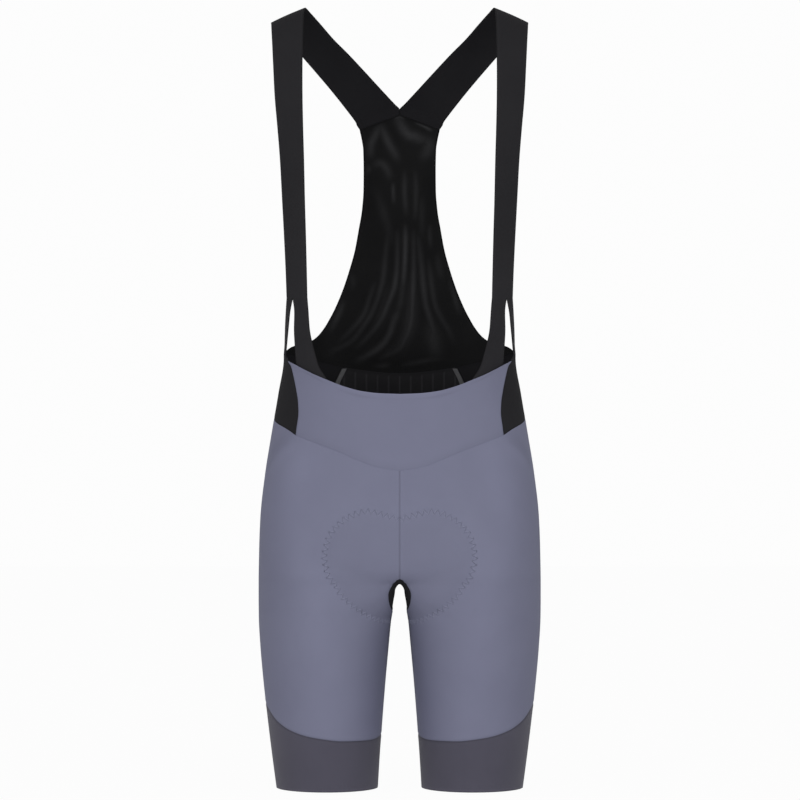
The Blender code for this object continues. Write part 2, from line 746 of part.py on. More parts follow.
def ribbon_row(ribbon, shares, crown):
    inner = Vector((ribbon.in_x, ribbon.in_y, ribbon.in_z))
    outer = Vector((ribbon.out_x, ribbon.out_y, ribbon.out_z))
    out = Vector((ribbon.in_x + ribbon.out_x, ribbon.in_y + ribbon.out_y, 0.0)).normalized()
    row = []
    for share in shares:
        row.append(inner.lerp(outer, share) + out * crown * 4.0 * share * (1.0 - share))
    return row


def through(rows, steps):
    """Rows read from a smooth curve through the given rows, with steps between each pair."""
    dense = []
    for i in range(len(rows) - 1):
        before, a = rows[max(i - 1, 0)], rows[i]
        b, after = rows[i + 1], rows[min(i + 2, len(rows) - 1)]
        for k in range(steps):
            s = k / steps
            line = []
            for p0, p1, p2, p3 in zip(before, a, b, after):
                curve = p1 * 2.0 + (p2 - p0) * s + (p0 * 2.0 - p1 * 5.0 + p2 * 4.0 - p3) * s * s
                curve += (p1 * 3.0 - p0 - p2 * 3.0 + p3) * s ** 3
                line.append(curve * 0.5)
            dense.append(line)
    dense.append(list(rows[-1]))
    return dense


def strap_grids():
    """Strap from the mesh panel's yoke over the shoulder to the fork and its two tails."""
    main = []
    for i, ribbon in enumerate(STRAP):
        toward_fork = ease((i - (len(STRAP) - 1 - FORK_ROWS)) / FORK_ROWS)
        shares = []
        for j in range(STRAP_COLUMNS + 1):
            plain = j / STRAP_COLUMNS
            if j <= FORK_COLUMN:
                forked = FORK_SHARE * j / FORK_COLUMN
            else:
                forked = FORK_SHARE + (1 - FORK_SHARE) * (j - FORK_COLUMN) / (STRAP_COLUMNS - FORK_COLUMN)
            shares.append(plain + (forked - plain) * toward_fork)
        crown = STRAP_CROWN * ease(i / 3.0)
        main.append(ribbon_row(ribbon, shares, crown))
    main = through(main, 2)
    for point in main[0]:
        point.z = yoke_height(point.x) + SEAM_GAP
        point.y = skin(turn_of_x(point.x, point.z, behind=True), point.z).y

    halves = [j / FORK_COLUMN for j in range(FORK_COLUMN + 1)]
    front = [main[-1][: FORK_COLUMN + 1]]
    for ribbon in FRONT_TAIL:
        front.append(ribbon_row(ribbon, halves, 0.6))
    for tail in HIDDEN_TAIL:
        first = turn_of_x(tail.in_x, tail.height)
        last = turn_of_x(tail.out_x, tail.height)
        front.append([under_skin(first + (last - first) * s, tail.height, TAIL_DEPTH) for s in halves])

    rear = [main[-1][FORK_COLUMN:]]
    for ribbon in REAR_TAIL:
        rear.append(ribbon_row(ribbon, halves, 0.3))
    seat = []
    for share in halves:
        turn = REAR_FOOT[0] + (REAR_FOOT[1] - REAR_FOOT[0]) * share
        seat.append(skin(turn, read(SIDE_TOP, "turn", "height", turn) + SEAM_GAP))
    rear.append(seat)
    return [main, through(front, 2), through(rear, 2)]


def tape_grid():
    """Narrow tape inside the back, over the seam between the lumbar and side panels."""
    rows = []
    top, low = LUMBAR_SIDE[0].height - TAPE_STOP, LUMBAR_SIDE[-1].height + TAPE_STOP
    for height in between(top, low, HIP_ROWS):
        turn = read(LUMBAR_SIDE, "height", "turn", height)
        across = (skin(turn + 0.01, height) - skin(turn - 0.01, height)).length / 0.02
        half = TAPE_WIDTH / 2.0 / across
        depth = (WALL + TAPE_THICKNESS) / 2.0 + LAYER_CLEARANCE
        rows.append([under_skin(turn + half * side, height, depth) for side in (-1, 0, 1)])
    return [rows]


for old in list(bpy.data.objects):
    bpy.data.objects.remove(old, do_unlink=True)

collection = bpy.data.collections.new("cycling_bib_shorts")
bpy.context.scene.collection.children.link(collection)

blue_grey = material("blue grey jersey", (0.175, 0.184, 0.262), 0.62)
dark_band = material("leg band", (0.073, 0.07, 0.098), 0.7)
black_knit = material("black strap knit", (0.02, 0.0195, 0.023), 0.72)
black_mesh = material("black mesh", (0.01, 0.01, 0.0105), 0.8)
grey_tape = material("grey tape", (0.07, 0.07, 0.075), 0.6)
pad_foam = material("pad", (0.03, 0.03, 0.033), 0.8)

cloth("belly_panel", [belly_grid()], blue_grey)
both_sides("leg_front", leg_front_grid, blue_grey)
both_sides("leg_back", leg_back_grid, blue_grey)
both_sides("leg_band", gripper_grid, dark_band, closed=True)
cloth("gusset", [gusset_grid()], black_knit)
both_sides("side_panel", side_grid, black_knit)
cloth("lumbar_panel", [lumbar_grid()], black_mesh)
cloth("mesh_back", [mesh_grid()], black_mesh)
both_sides("strap", strap_grids, black_knit)
both_sides("seam_tape", tape_grid, grey_tape, thickness=TAPE_THICKNESS)
cloth("seat_pad", [pad_grid()], pad_foam, thickness=PAD_THICKNESS, edge_factor=PAD_EDGE)
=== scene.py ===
"""Cycling bib shorts, filled out as worn, made up panel by panel in sewing order.

Lengths are in millimetres and become metres as each mesh is made. The origin is at the
top of the shoulder straps, +Z is up and the front faces -Y.
"""

import bpy
import numpy as np
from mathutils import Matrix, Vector


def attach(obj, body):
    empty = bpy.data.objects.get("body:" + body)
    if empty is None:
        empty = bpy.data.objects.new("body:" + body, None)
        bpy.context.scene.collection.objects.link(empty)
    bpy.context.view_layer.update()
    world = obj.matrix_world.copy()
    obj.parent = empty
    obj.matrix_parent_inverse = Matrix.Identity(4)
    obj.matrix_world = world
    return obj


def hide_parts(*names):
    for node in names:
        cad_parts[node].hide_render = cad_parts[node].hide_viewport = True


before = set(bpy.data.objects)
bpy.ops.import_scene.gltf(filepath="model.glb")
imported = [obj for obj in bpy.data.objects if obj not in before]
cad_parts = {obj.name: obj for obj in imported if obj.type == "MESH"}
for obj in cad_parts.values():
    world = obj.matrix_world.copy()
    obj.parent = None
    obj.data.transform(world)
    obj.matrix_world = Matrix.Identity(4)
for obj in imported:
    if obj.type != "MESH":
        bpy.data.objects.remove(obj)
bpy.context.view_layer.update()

# ------------ leg panels
# Front and back panel of each leg, cut from a smooth blue-grey warp-knit jersey with a matt
# face. They meet on a side seam, on the middle seam and, under the saddle, at the gusset.

MM = 0.001
WALL = 1.2
SEAM_LAP = 0.1
SEAM_SINK = 0.45
SIDE_SEAM_TURN = 0.62

# The legs part at the saddle: its height, the radius of its arch, and how fast the cut on the
# middle plane opens above it. The legs' ovals blend into the trunk's above it, and below it
# they reach their full gap and their round form.
SADDLE = -687.0
ARCH_RADIUS = 2.5
PINCH_RISE = 5.0
TRUNK_START, TRUNK_BLEND = 10.0, 110.0
GAP_START, GAP_BLEND = 4.0, 11.0
LEG_ROUNDING = 50.0

# The figure that fills the cloth: height, half width, depth to the front and to the back,
# and half of the space between the legs.
FIGURE = np.array([
    (-100, 166.0, 100, 93, 0), (-160, 160.0, 100, 101, 0), (-240, 150.0, 98, 103, 0),
    (-320, 142.0, 95, 95, 0), (-380, 138.5, 94, 86, 0), (-420, 138.5, 96, 84, 0),
    (-463, 145.0, 100, 88, 0), (-510, 153.0, 105, 98, 0), (-560, 161.0, 110, 112, 0),
    (-610, 166.5, 112, 120, 0), (-650, 168.0, 110.5, 121, 0), (-690, 168.6, 107, 116, 3.9),
    (-705, 168.6, 105, 112.5, 7.3), (-730, 168.4, 101, 105.5, 10.5),
    (-765, 166.5, 94.5, 95, 13.8), (-805, 163.0, 86.5, 84, 17.4), (-850, 158.0, 78, 73.5, 21.0),
    (-895, 152.5, 70.5, 65, 24.3), (-940, 146.5, 66, 60, 27.0),
])


def ease(value):
    """Smooth step from 0 to 1."""
    value = np.clip(value, 0.0, 1.0)
    return value * value * (3.0 - 2.0 * value)


def smooth_line(keys, values):
    """Curve through the values without overshoot, read at an array of places."""
    order = np.argsort(keys)
    x, y = np.array(keys, float)[order], np.array(values, float)[order]
    step = np.diff(y) / np.diff(x)
    before, after = step[:-1], step[1:]
    alike = before * after > 0.0
    inner = np.where(alike, 2.0 * before * after / np.where(alike, before + after, 1.0), 0.0)
    slope = np.concatenate([step[:1], inner, step[-1:]])

    def curve(at):
        at = np.clip(at, x[0], x[-1])
        i = np.clip(np.searchsorted(x, at, side="right") - 1, 0, len(x) - 2)
        span = x[i + 1] - x[i]
        s = (at - x[i]) / span
        low = y[i] * (1 + 2 * s) * (1 - s) ** 2 + slope[i] * span * s * (1 - s) ** 2
        return low + y[i + 1] * s * s * (3 - 2 * s) + slope[i + 1] * span * s * s * (s - 1)

    return curve


def seam_line(*pairs):
    """Seam given as (place, value) pairs, smooth between them."""
    return smooth_line([pair[0] for pair in pairs], [pair[1] for pair in pairs])


half_width, front_depth, back_depth, table_gap = (
    smooth_line(FIGURE[:, 0], column) for column in FIGURE[:, 1:].T)


def leg_oval(height):
    """Cut at the middle plane, gap, radius and first angle of one leg's oval."""
    rise = np.maximum(height - SADDLE, 0.0)
    drop = np.maximum(SADDLE - height, 0.0)
    half = half_width(height)
    cut = np.sqrt(2 * ARCH_RADIUS * rise + PINCH_RISE * rise ** 2)
    cut = cut / np.hypot(1, cut / half * 3 ** 0.5)
    share = ease((drop - GAP_START) / GAP_BLEND)
    gap = (1 - share) * np.sqrt(2 * ARCH_RADIUS * drop) + share * table_gap(height)
    mix = ease(drop / LEG_ROUNDING)
    below = (np.sqrt((mix * gap) ** 2 + half ** 2 - gap ** 2) - mix * gap) / 2
    radius = np.where(rise > 0, np.hypot(half, cut) / 2, below)
    start = np.arccos(np.clip(1 - cut / radius, -1, 1))
    return cut, gap, mix, radius, start


# The stretched cloth spans the hollow between the legs: how deep the hollow is at each height,
# 1 where each leg is an oval and 0 where the span is flat. The pad's form is softer.
CLOTH_FORM = seam_line((-655, 0.0), (-670, 0.035), (-678, 0.08), (-687, 0.135), (-707, 0.25),
                       (-727, 0.42), (-747, 0.63), (-767, 0.83), (-800, 1.0))
PAD_FORM = seam_line((-645, 0.0), (-663, 0.14), (-687, 0.38), (-707, 0.46), (-727, 0.58),
                     (-747, 0.74), (-767, 0.89), (-800, 1.0))


def fullness(angle, height, form):
    """Depth of a leg's oval at an angle, as a share of its full depth."""
    round_depth = np.sin(angle)
    return np.where(angle < np.pi / 2, np.maximum(round_depth, 0) ** form(height), round_depth)


def skin(turn, height, form=CLOTH_FORM):
    """Points of the figure's left half: turn 0 is the front, 0.5 the side, 1 the back."""
    turn, height = np.broadcast_arrays(np.asarray(turn, float), np.asarray(height, float))
    behind = turn > 0.5
    near = np.where(behind, 1 - turn, turn)
    depth = np.where(behind, back_depth(height), -front_depth(height))
    cut, gap, mix, radius, start = leg_oval(height)
    angle = np.sqrt(start ** 2 + (np.pi ** 2 - start ** 2) * (2 * near) ** 2)
    reach = radius * (1 - np.cos(angle))
    share = ease((height - SADDLE - TRUNK_START) / TRUNK_BLEND)
    trunk_x = np.sqrt(np.maximum(reach ** 2 - cut ** 2, 0)) * (1 - share)
    trunk_x += share * half_width(height) * np.sin(np.pi * near)
    leg_x = np.sqrt(reach ** 2 + 2 * mix * reach * gap + gap ** 2)
    x = np.where(height > SADDLE, trunk_x, leg_x)
    y = depth * ((1 - share) * fullness(angle, height, form) + share * np.cos(np.pi * near))
    return np.stack([x, y, height], -1)


def length_along(grid, axis):
    """Length of cloth from a grid's first row (axis 0) or column (axis 1)."""
    steps = np.linalg.norm(np.diff(grid, axis=axis), axis=-1)
    pad = [(0, 0), (0, 0)]
    pad[axis] = (1, 0)
    return np.pad(np.cumsum(steps, axis), pad)


def spread(length, step, fine=(0.5, 1.0, 1.6, 2.4, 3.4, 4.6)):
    """Shares 0..1 of a length, about a step apart and closer beside both ends."""
    count = max(int((length - 2 * fine[-1]) / step), 1) + 1
    inner = np.linspace(fine[-1], length - fine[-1], count)
    places = [0.0, *fine[:-1], *inner, *(length - np.array(fine[:-1][::-1])), length]
    return np.array(places) / length


def spread_to(length, step):
    """Shares 0..1 of a length, closer beside its far end only."""
    share = spread(length, step)[5:]
    return (share - share[0]) / (share[-1] - share[0])


def lifted(grid, rise, closed=False):
    """Grid moved outward by a rise in millimetres at each point."""
    if closed:
        wide = np.concatenate([grid[:, -1:], grid, grid[:, :1]], 1)
        across = (wide[:, 2:] - wide[:, :-2]) / 2
    else:
        across = np.gradient(grid, axis=1)
    out = np.cross(np.gradient(grid, axis=0), across)
    out /= np.maximum(np.linalg.norm(out, axis=-1, keepdims=True), 1e-9)
    return grid + out * np.broadcast_to(rise, grid.shape[:2])[..., None]


def from_edges(grid):
    """Distance of each point of a grid from its four edges, in millimetres of cloth."""
    down, across = length_along(grid, 0), length_along(grid, 1)
    return {"top": down, "bottom": down[-1:] - down,
            "left": across, "right": across[:, -1:] - across}


def band_of(distance, middle, half):
    """Soft stripe, 1 at a distance from an edge and fading over half its width."""
    return np.exp(-((distance - middle) / half) ** 2)


def stripes(distance, *bands):
    """Sum of soft stripes along an edge, each (height or lightness, distance, half width)."""
    return sum(amount * band_of(distance, middle, half) for amount, middle, half in bands)


# Cloth at a sunk seam, as shares of its sink: the sunk edge, and the soft ridge that the
# turned allowance makes beside it.
SUNK_EDGE = (-1.0, 0.0, 1.5)
ALLOWANCE_RIDGE = (0.27, 4.2, 1.6)


def sewn(grid, closed=False, **sinks):
    """Grid whose named sides sink into their seams and lap their neighbours by a hair."""
    reach = from_edges(grid)
    rise = np.zeros(grid.shape[:2])
    for side, sink in sinks.items():
        rise += sink * stripes(reach[side], ALLOWANCE_RIDGE, SUNK_EDGE)
    grid = lifted(grid, rise, closed).copy()
    for side in sinks:
        edge, inner = {
            "top": (grid[0], grid[1]), "bottom": (grid[-1], grid[-2]),
            "left": (grid[:, 0], grid[:, 1]), "right": (grid[:, -1], grid[:, -2]),
        }[side]
        pull = inner - edge
        edge -= pull / np.linalg.norm(pull, axis=-1, keepdims=True) * SEAM_LAP / 2
    return grid


def mirrored(grid):
    """The other side's grid, with its columns turned round so that it still faces out."""
    return (grid * (-1, 1, 1))[:, ::-1]


SIDES = (("left", lambda grid: grid), ("right", mirrored))


def placed(name, data):
    """New object with its data, in the scene."""
    made = bpy.data.objects.new(name, data)
    bpy.context.scene.collection.objects.link(made)
    return made


def cloth(name, grids, finish, thickness=WALL, closed=False, inner=None, marks=None):
    """Object of one wall of cloth with the grids as its middle, and a UV map in metres of cloth.

    inner is another finish for the inner face, and marks holds how much lighter (above 0) or
    darker (below 0) the colour is made at each point: mostly painted light and shade, and on
    the lumbar panel the ribs' lighter yarn.
    """
    points, faces, places, first = [], [], [], 0
    for grid in grids:
        rows, columns = grid.shape[:2]
        number = first + np.arange(rows * columns).reshape(rows, columns)
        first += rows * columns
        points.append(grid.reshape(-1, 3))
        if closed:
            number = np.hstack([number, number[:, :1]])
            grid = np.concatenate([grid, grid[:, :1]], 1)
        corners = [(slice(None, -1), slice(None, -1)), (slice(1, None), slice(None, -1)),
                   (slice(1, None), slice(1, None)), (slice(None, -1), slice(1, None))]
        faces.append(np.stack([number[c] for c in corners], -1).reshape(-1, 4))
        u = np.broadcast_to(length_along(grid, 1).mean(0)[None, :], grid.shape[:2])
        v = np.broadcast_to(-length_along(grid, 0).mean(1)[:, None], grid.shape[:2])
        uv = np.stack([u, v], -1) * MM
        places.append(np.stack([uv[c] for c in corners], -2).reshape(-1, 2))
    mesh = bpy.data.meshes.new(name)
    mesh.from_pydata((np.concatenate(points) * MM).tolist(), [], np.concatenate(faces).tolist())
    layer = mesh.uv_layers.new(name="cloth")
    layer.data.foreach_set("uv", np.concatenate(places).astype(np.float32).ravel())
    mesh.materials.append(finish)
    mesh.shade_smooth()
    if marks is not None:
        shades = mesh.attributes.new("mark", "FLOAT", "POINT")
        shades.data.foreach_set("value", marks.astype(np.float32).ravel())
    piece = placed(name, mesh)
    if len(grids) > 1:
        weld = piece.modifiers.new("joined", "WELD")
        weld.merge_threshold = 0.00001
    wall = piece.modifiers.new("wall", "SOLIDIFY")
    wall.thickness = thickness * MM
    wall.offset = 0.0
    if inner is not None:
        mesh.materials.append(inner)
        wall.material_offset = 1
    return piece


def stand_in(piece, node):
    """Let a piece take the place of its node."""
    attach(piece, "root")
    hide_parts(node)


def fitted(piece, node):
    """Let a sheet of worn cloth take the place of its node."""
    stand_in(piece, node)


def shader_tree(name):
    """New material with its node tree and its shader."""
    finish = bpy.data.materials.new(name)
    finish.use_nodes = True
    return finish, finish.node_tree, finish.node_tree.nodes["Principled BSDF"]


def set_values(node, **values):
    """Set a node's settings or sockets by name."""
    for key, value in values.items():
        if hasattr(node, key):
            setattr(node, key, value)
        else:
            node.inputs[key.replace("_", " ")].default_value = value


def add(tree, kind, links=(), **values):
    """Node of a kind, with its values, and links as (socket, source) pairs."""
    node = tree.nodes.new("ShaderNode" + kind)
    set_values(node, **values)
    for socket, source in links:
        tree.links.new(source, node.inputs[socket])
    return node


def yarn_ramp(tree, level, dark, light):
    """Colour between a dark and a light one, by a level from 0 to 1."""
    ramp = add(tree, "ValToRGB", [("Fac", level)])
    for element, colour in zip(ramp.color_ramp.elements, (dark, light)):
        element.color = (*colour, 1)
    return ramp.outputs["Color"]


BANDS_PER_UNIT = 3.18  # of a wave texture at scale 1
COURSES_PER_WALE = 1.3


def knit(name, dark, light, roughness, wale, depth, specular, sheen=0.0):
    """Fine knit: rows of stitches a wale apart in metres, a mottled yarn and a matt sheen."""
    finish, tree, shader = shader_tree(name)
    scale = 1.0 / wale / BANDS_PER_UNIT
    uv = add(tree, "TexCoord").outputs["UV"]
    spot = add(tree, "TexCoord").outputs["Object"]
    rows = {"wave_type": "BANDS", "Distortion": 0.6, "Detail": 1.0, "Detail_Scale": 2.0}
    wales = add(tree, "TexWave", [("Vector", uv)], bands_direction="X", Scale=scale, **rows)
    courses = add(tree, "TexWave", [("Vector", uv)], bands_direction="Y",
                  Scale=scale * COURSES_PER_WALE, **rows)
    loops = add(tree, "Math", [(0, wales.outputs["Fac"]), (1, courses.outputs["Fac"])],
                operation="MULTIPLY")
    yarn = add(tree, "TexNoise", [("Vector", uv)], Scale=1400.0, Detail=2.0, Roughness=0.6)
    cloud = add(tree, "TexNoise", [("Vector", spot)], Scale=14.0, Detail=3.0, Roughness=0.55)
    mottle = add(tree, "Math", [(0, yarn.outputs["Fac"]), (1, cloud.outputs["Fac"])],
                 operation="ADD")
    shade = add(tree, "MapRange", [("Value", mottle.outputs["Value"])], From_Min=0.7, From_Max=1.3)
    colour = yarn_ramp(tree, shade.outputs["Result"], dark, light)
    # The mark attribute scales the colour. It carries the painted light and shade, and on the
    # lumbar panel the ribs' lighter yarn.
    mark = add(tree, "Attribute", attribute_name="mark")
    tone = add(tree, "MapRange", [("Value", mark.outputs["Fac"])], clamp=False, To_Min=1.0,
               To_Max=2.0)
    worn = add(tree, "VectorMath", [(0, colour), ("Scale", tone.outputs["Result"])],
               operation="SCALE")
    tree.links.new(worn.outputs["Vector"], shader.inputs["Base Color"])
    bump = add(tree, "Bump", [("Height", loops.outputs["Value"])], Strength=depth, Distance=0.0003)
    tree.links.new(bump.outputs["Normal"], shader.inputs["Normal"])
    set_values(shader, Roughness=roughness, Specular_IOR_Level=specular, Sheen_Weight=sheen)
    return finish


jersey = knit("blue grey jersey", (0.165, 0.17, 0.247), (0.182, 0.188, 0.27), 0.62, 0.0007,
              0.35, 0.2)

# Seams as (turn, height): over the front up to the foot of the side panel, on round the back,
# and above the leg band.
BELLY_CORNER = (0.297, -512.0)
belly_bottom = seam_line((0.0, -553.5), (0.05, -549.5), (0.1, -541.0), (0.15, -531.5),
                         (0.2, -524.0), (0.25, -517.5), BELLY_CORNER)
side_bottom = seam_line(BELLY_CORNER, (0.33, -506.5), (0.37, -502.0), (0.44, -496.5),
                        (0.5, -492.0), (0.62, -484.0), (0.82, -478.0), (1.0, -476.0))
band_top = seam_line((0.0, -870.0), (0.05, -873.0), (0.1, -874.5), (0.2, -873.8), (0.25, -871.5),
                     (0.3, -868.0), (0.35, -862.0), (0.4, -852.5), (0.45, -839.5), (0.5, -832.5),
                     (0.55, -837.0), (0.62, -852.0), (0.7, -864.0), (0.8, -871.0), (0.9, -872.5),
                     (1.0, -870.0))
# The gusset's rows, and its seam as the angle round the leg's oval at each height.
GUSSET_TOP, GUSSET_LOW = -681.0, -724.0
GUSSET_ROWS = np.linspace(0, 7, 43)
gusset_heights = smooth_line(range(8), [GUSSET_TOP, -684.3, -687.0, -691.5, -698.0, -706.0,
                                        -716.0, GUSSET_LOW])(GUSSET_ROWS)
gusset_angle = seam_line((GUSSET_TOP, 0.6), (-684.3, 0.487), (-687.0, 0.468), (-691.5, 0.505),
                         (-698.0, 0.532), (-706.0, 0.475), (-716.0, 0.3), (-721.0, 0.1),
                         (GUSSET_LOW, 0.0))


def gusset_edge(height):
    """Turn of the gusset's seam at a height."""
    start = leg_oval(height)[4]
    past = np.maximum(gusset_angle(height) ** 2 - start ** 2, 0)
    return 0.5 * np.sqrt(past / (np.pi ** 2 - start ** 2))


# The seat pad is sewn on from inside, and its edge shows as a zigzag line round a soft
# swelling. Its outline, as (turn, height), runs from the middle in front down to the saddle.
PAD_OUTLINE = np.array([
    (0.0, -609.6), (0.030, -606.1), (0.054, -602.7), (0.0775, -601.0), (0.108, -604.3),
    (0.1405, -611.8), (0.1675, -622.3), (0.1865, -631.1), (0.2005, -641.7), (0.214, -654),
    (0.222, -667), (0.231, -680.5), (0.2285, -691), (0.213, -702), (0.178, -715),
    (0.1385, -724), (0.0955, -730), (0.045, -733), (0.0, -734),
])
PAD_LOW, PAD_TOP_TURN = -735.0, 0.18
PAD_RISE, PAD_SHOULDER, PAD_FADE = 1.0, 16.0, 5.0
GROOVE_DEPTH, GROOVE_HALF = 0.45, 2.6


def through_points(points, steps):
    """Smooth curve through rows of points, with steps between each pair."""
    p = np.concatenate([points[:1], points, points[-1:]])
    s = (np.arange(steps) / steps).reshape(-1, *[1] * (points.ndim - 1))
    parts = []
    for p0, p1, p2, p3 in zip(p, p[1:], p[2:], p[3:]):
        curve = p1 * 2 + (p2 - p0) * s + (p0 * 2 - p1 * 5 + p2 * 4 - p3) * s ** 2
        parts.append((curve + (p1 * 3 - p0 - p2 * 3 + p3) * s ** 3) / 2)
    return np.concatenate(parts + [points[-1:]])


# The outline read across, as a height for each turn, and read down, as a turn for each height.
pad_outline = through_points(PAD_OUTLINE, 12)
pad_top = smooth_line(pad_outline[:110, 0], pad_outline[:110, 1])
pad_side = smooth_line(-pad_outline[36:, 1], pad_outline[36:, 0])


def groove(distance):
    """Depth that the stitches pull the cloth in, at a distance from their line."""
    return GROOVE_DEPTH * np.exp(-(distance / GROOVE_HALF) ** 2)


def pad_swelling(turn, height, grid, line):
    """Rise of the cloth over the pad, swelling inside a sunk stitch line, and where the pad is."""
    distance = np.full(turn.shape, 1e9)
    for point in line:
        distance = np.minimum(distance, np.linalg.norm(grid - point, axis=-1))
    below = height < pad_top(np.minimum(turn, PAD_TOP_TURN))
    covered = (turn < pad_side(-height)) & below & (height > PAD_LOW)
    swell = np.where(covered, PAD_RISE * ease(distance / PAD_SHOULDER), 0.0)
    return swell - groove(distance), np.where(covered, ease(distance / PAD_FADE), 0.0)


# A leg panel's rows are level between two heights, closer from a third one to the gusset, and
# ease into the seams over some cloth above and below.
LEVEL_TOP, LEVEL_LOW, CLOSER_FROM = -605.0, -815.0, -668.0
UPPER_CLOTH, LOWER_CLOTH = 90.0, 50.0
ROW_STEP, CLOSE_STEP, COLUMN_STEP = 3.0, 1.3, 2.6
# The smaller this is, the more the columns crowd towards the middle seam.
CROWDING = 0.2


def leg_heights(turns):
    """Heights of a leg panel's points, row by row, close together where the legs part."""
    first = np.where(turns < BELLY_CORNER[0], belly_bottom(turns), side_bottom(turns))
    upper = [s * first + (1 - s) * LEVEL_TOP for s in spread_to(UPPER_CLOTH, ROW_STEP)[::-1]]
    levels = np.concatenate([np.arange(LEVEL_TOP - 3, CLOSER_FROM, -ROW_STEP),
                             np.arange(CLOSER_FROM, GUSSET_TOP, -CLOSE_STEP), gusset_heights,
                             np.arange(GUSSET_LOW - 2, LEVEL_LOW, -ROW_STEP)])
    middle = [np.full_like(turns, height) for height in levels]
    lower = [(1 - s) * LEVEL_LOW + s * band_top(turns) for s in spread_to(LOWER_CLOTH, ROW_STEP)]
    return np.array(upper + middle + lower)


# Soft creases of the stretched cloth, each with its depth, half its width and the places
# (turn, height) it runs through: from the foot of the side panel out over the hip, beside the
# gusset, under the seat and behind the thigh.
FRONT_CREASES = [
    (0.5, 1.8, (0.2965, -512), (0.3195, -519), (0.3604, -528.6), (0.3996, -538.9), (0.43, -552),
     (0.452, -575)),
    (0.35, 6.0, (0.10, -690), (0.15, -672), (0.22, -662)),
    (0.25, 5.0, (0.09, -706), (0.15, -716), (0.21, -736)),
    (0.3, 6.0, (0.50, -600), (0.56, -640), (0.60, -700)),
]
BACK_CREASES = [
    (0.9, 6.0, (0.98, -672), (0.90, -668), (0.80, -680), (0.73, -700)),
    (0.6, 5.0, (0.95, -694), (0.87, -697), (0.79, -714)),
    (0.5, 5.0, (0.93, -742), (0.84, -733), (0.72, -741)),
    (0.6, 6.0, (0.90, -846), (0.80, -835), (0.70, -842)),
    (0.4, 5.0, (0.86, -814), (0.78, -808), (0.68, -816)),
]
# How much darker the jersey looks over the pad, and the painted shade in a crease 1 mm deep.
PAD_SHADE, CREASE_SHADE = 0.045, 0.06
# Painted light on the hip, down the thigh's outer front and inside the curve below the side panel's
# foot, and painted shade on the inner thigh and outside that curve: how much lighter or darker,
# half as wide, and the places (turn, height) each runs through.
PAINTED_LIGHT_PATCHES = [
    (0.12, 27.0, (0.245, -522), (0.26, -550), (0.27, -590)),
    (0.06, 24.0, (0.28, -590), (0.27, -700), (0.235, -850)),
    (-0.08, 22.0, (0.075, -720), (0.065, -790), (0.06, -862)),
    (0.07, 8.0, (0.285, -521), (0.32, -530), (0.36, -540), (0.395, -552)),
    (-0.09, 8.0, (0.305, -508), (0.335, -514), (0.375, -523), (0.415, -534), (0.44, -549)),
]


def soft_line(places, line, half):
    """Soft stripe along a line of points, 1 on it and fading out at both its ends."""
    along = length_along(line[None], 1)[0]
    even = np.linspace(0, along[-1], int(along[-1] / half * 2) + 8)
    line = np.stack([np.interp(even, along, column) for column in line.T], -1)
    stripe = np.zeros(places.shape[:2])
    for k, point in enumerate(line):
        fade = np.sin(np.pi * (k + 0.5) / len(line)) ** 0.6
        stripe = np.maximum(stripe, fade * np.exp(-((places - point) ** 2).sum(-1) / half ** 2))
    return stripe


def on_skin(places):
    """Smooth line on the skin through a few places."""
    return skin(*through_points(np.array(places, float), 12).T)


def crease_relief(grid, creases):
    """Soft troughs along the creases."""
    relief = np.zeros(grid.shape[:2])
    for depth, half, *places in creases:
        relief = np.minimum(relief, -depth * soft_line(grid, on_skin(places), half))
    return relief


def leg_panel(first_turn, last_turn, breadth, front):
    """Grid of a leg panel between two seams that run down the leg, and the light and shade painted
    on it.

    Its columns lie closer beside the middle seam, where the legs part.
    """
    share = spread(breadth, COLUMN_STEP)
    if front:
        share = share * (share + CROWDING) / (1 + CROWDING)
    else:
        share = 1 - (1 - share) * (1 + CROWDING - share) / (1 + CROWDING)
    level = leg_heights(np.array([SIDE_SEAM_TURN]))
    first, last = first_turn(level), last_turn(level)
    turn = first + (last - first) * share[None, :]
    height = leg_heights(turn[0])
    for k in np.flatnonzero(level[:, 0] < LEVEL_LOW):
        s = (level[k, 0] - LEVEL_LOW) / (band_top(SIDE_SEAM_TURN) - LEVEL_LOW)
        height[k] = (1 - s) * LEVEL_LOW + s * band_top(turn[k])
    grid = skin(turn, height)
    line_turn = pad_outline[:, 0] if front else 1 - pad_outline[:, 0]
    line = skin(line_turn, pad_outline[:, 1])
    near = turn if front else 1 - turn
    swell, over_pad = pad_swelling(near, height, grid, line)
    creases = crease_relief(grid, FRONT_CREASES if front else BACK_CREASES)
    grid = sewn(lifted(grid, swell + creases), top=0.1, bottom=SEAM_SINK, left=SEAM_SINK,
                right=SEAM_SINK)
    marks = painted_seam_shading(grid) - PAD_SHADE * over_pad + CREASE_SHADE * creases
    if front:
        for lighter, half, *places in PAINTED_LIGHT_PATCHES:
            marks += lighter * soft_line(grid, on_skin(places), half)
    return grid, marks


def painted_seam_shading(grid):
    """Painted shade in the seams down the panel and at its foot, and a painted highlight on the
    ridges beside them.
    """
    reach = from_edges(grid)
    edge = np.minimum(reach["left"], reach["right"])
    marks = stripes(edge, (0.04, 2.3, 0.6), (-0.2, 0.0, 1.2))
    return marks + stripes(reach["bottom"], (-0.25, 0.0, 1.3))


def inner_turn(height):
    """Turn of a panel's inner edge: the middle plane, or the gusset's seam."""
    height = np.asarray(height, float)
    return np.where((height > GUSSET_TOP) | (height < GUSSET_LOW), 0.0, gusset_edge(height))


def side_turn(height):
    """Turn of the side seam, which runs straight down the leg."""
    return np.full_like(height, SIDE_SEAM_TURN)


leg_front = leg_panel(inner_turn, side_turn, 290.0, True)
leg_back = leg_panel(side_turn, lambda height: 1 - inner_turn(height), 175.0, False)

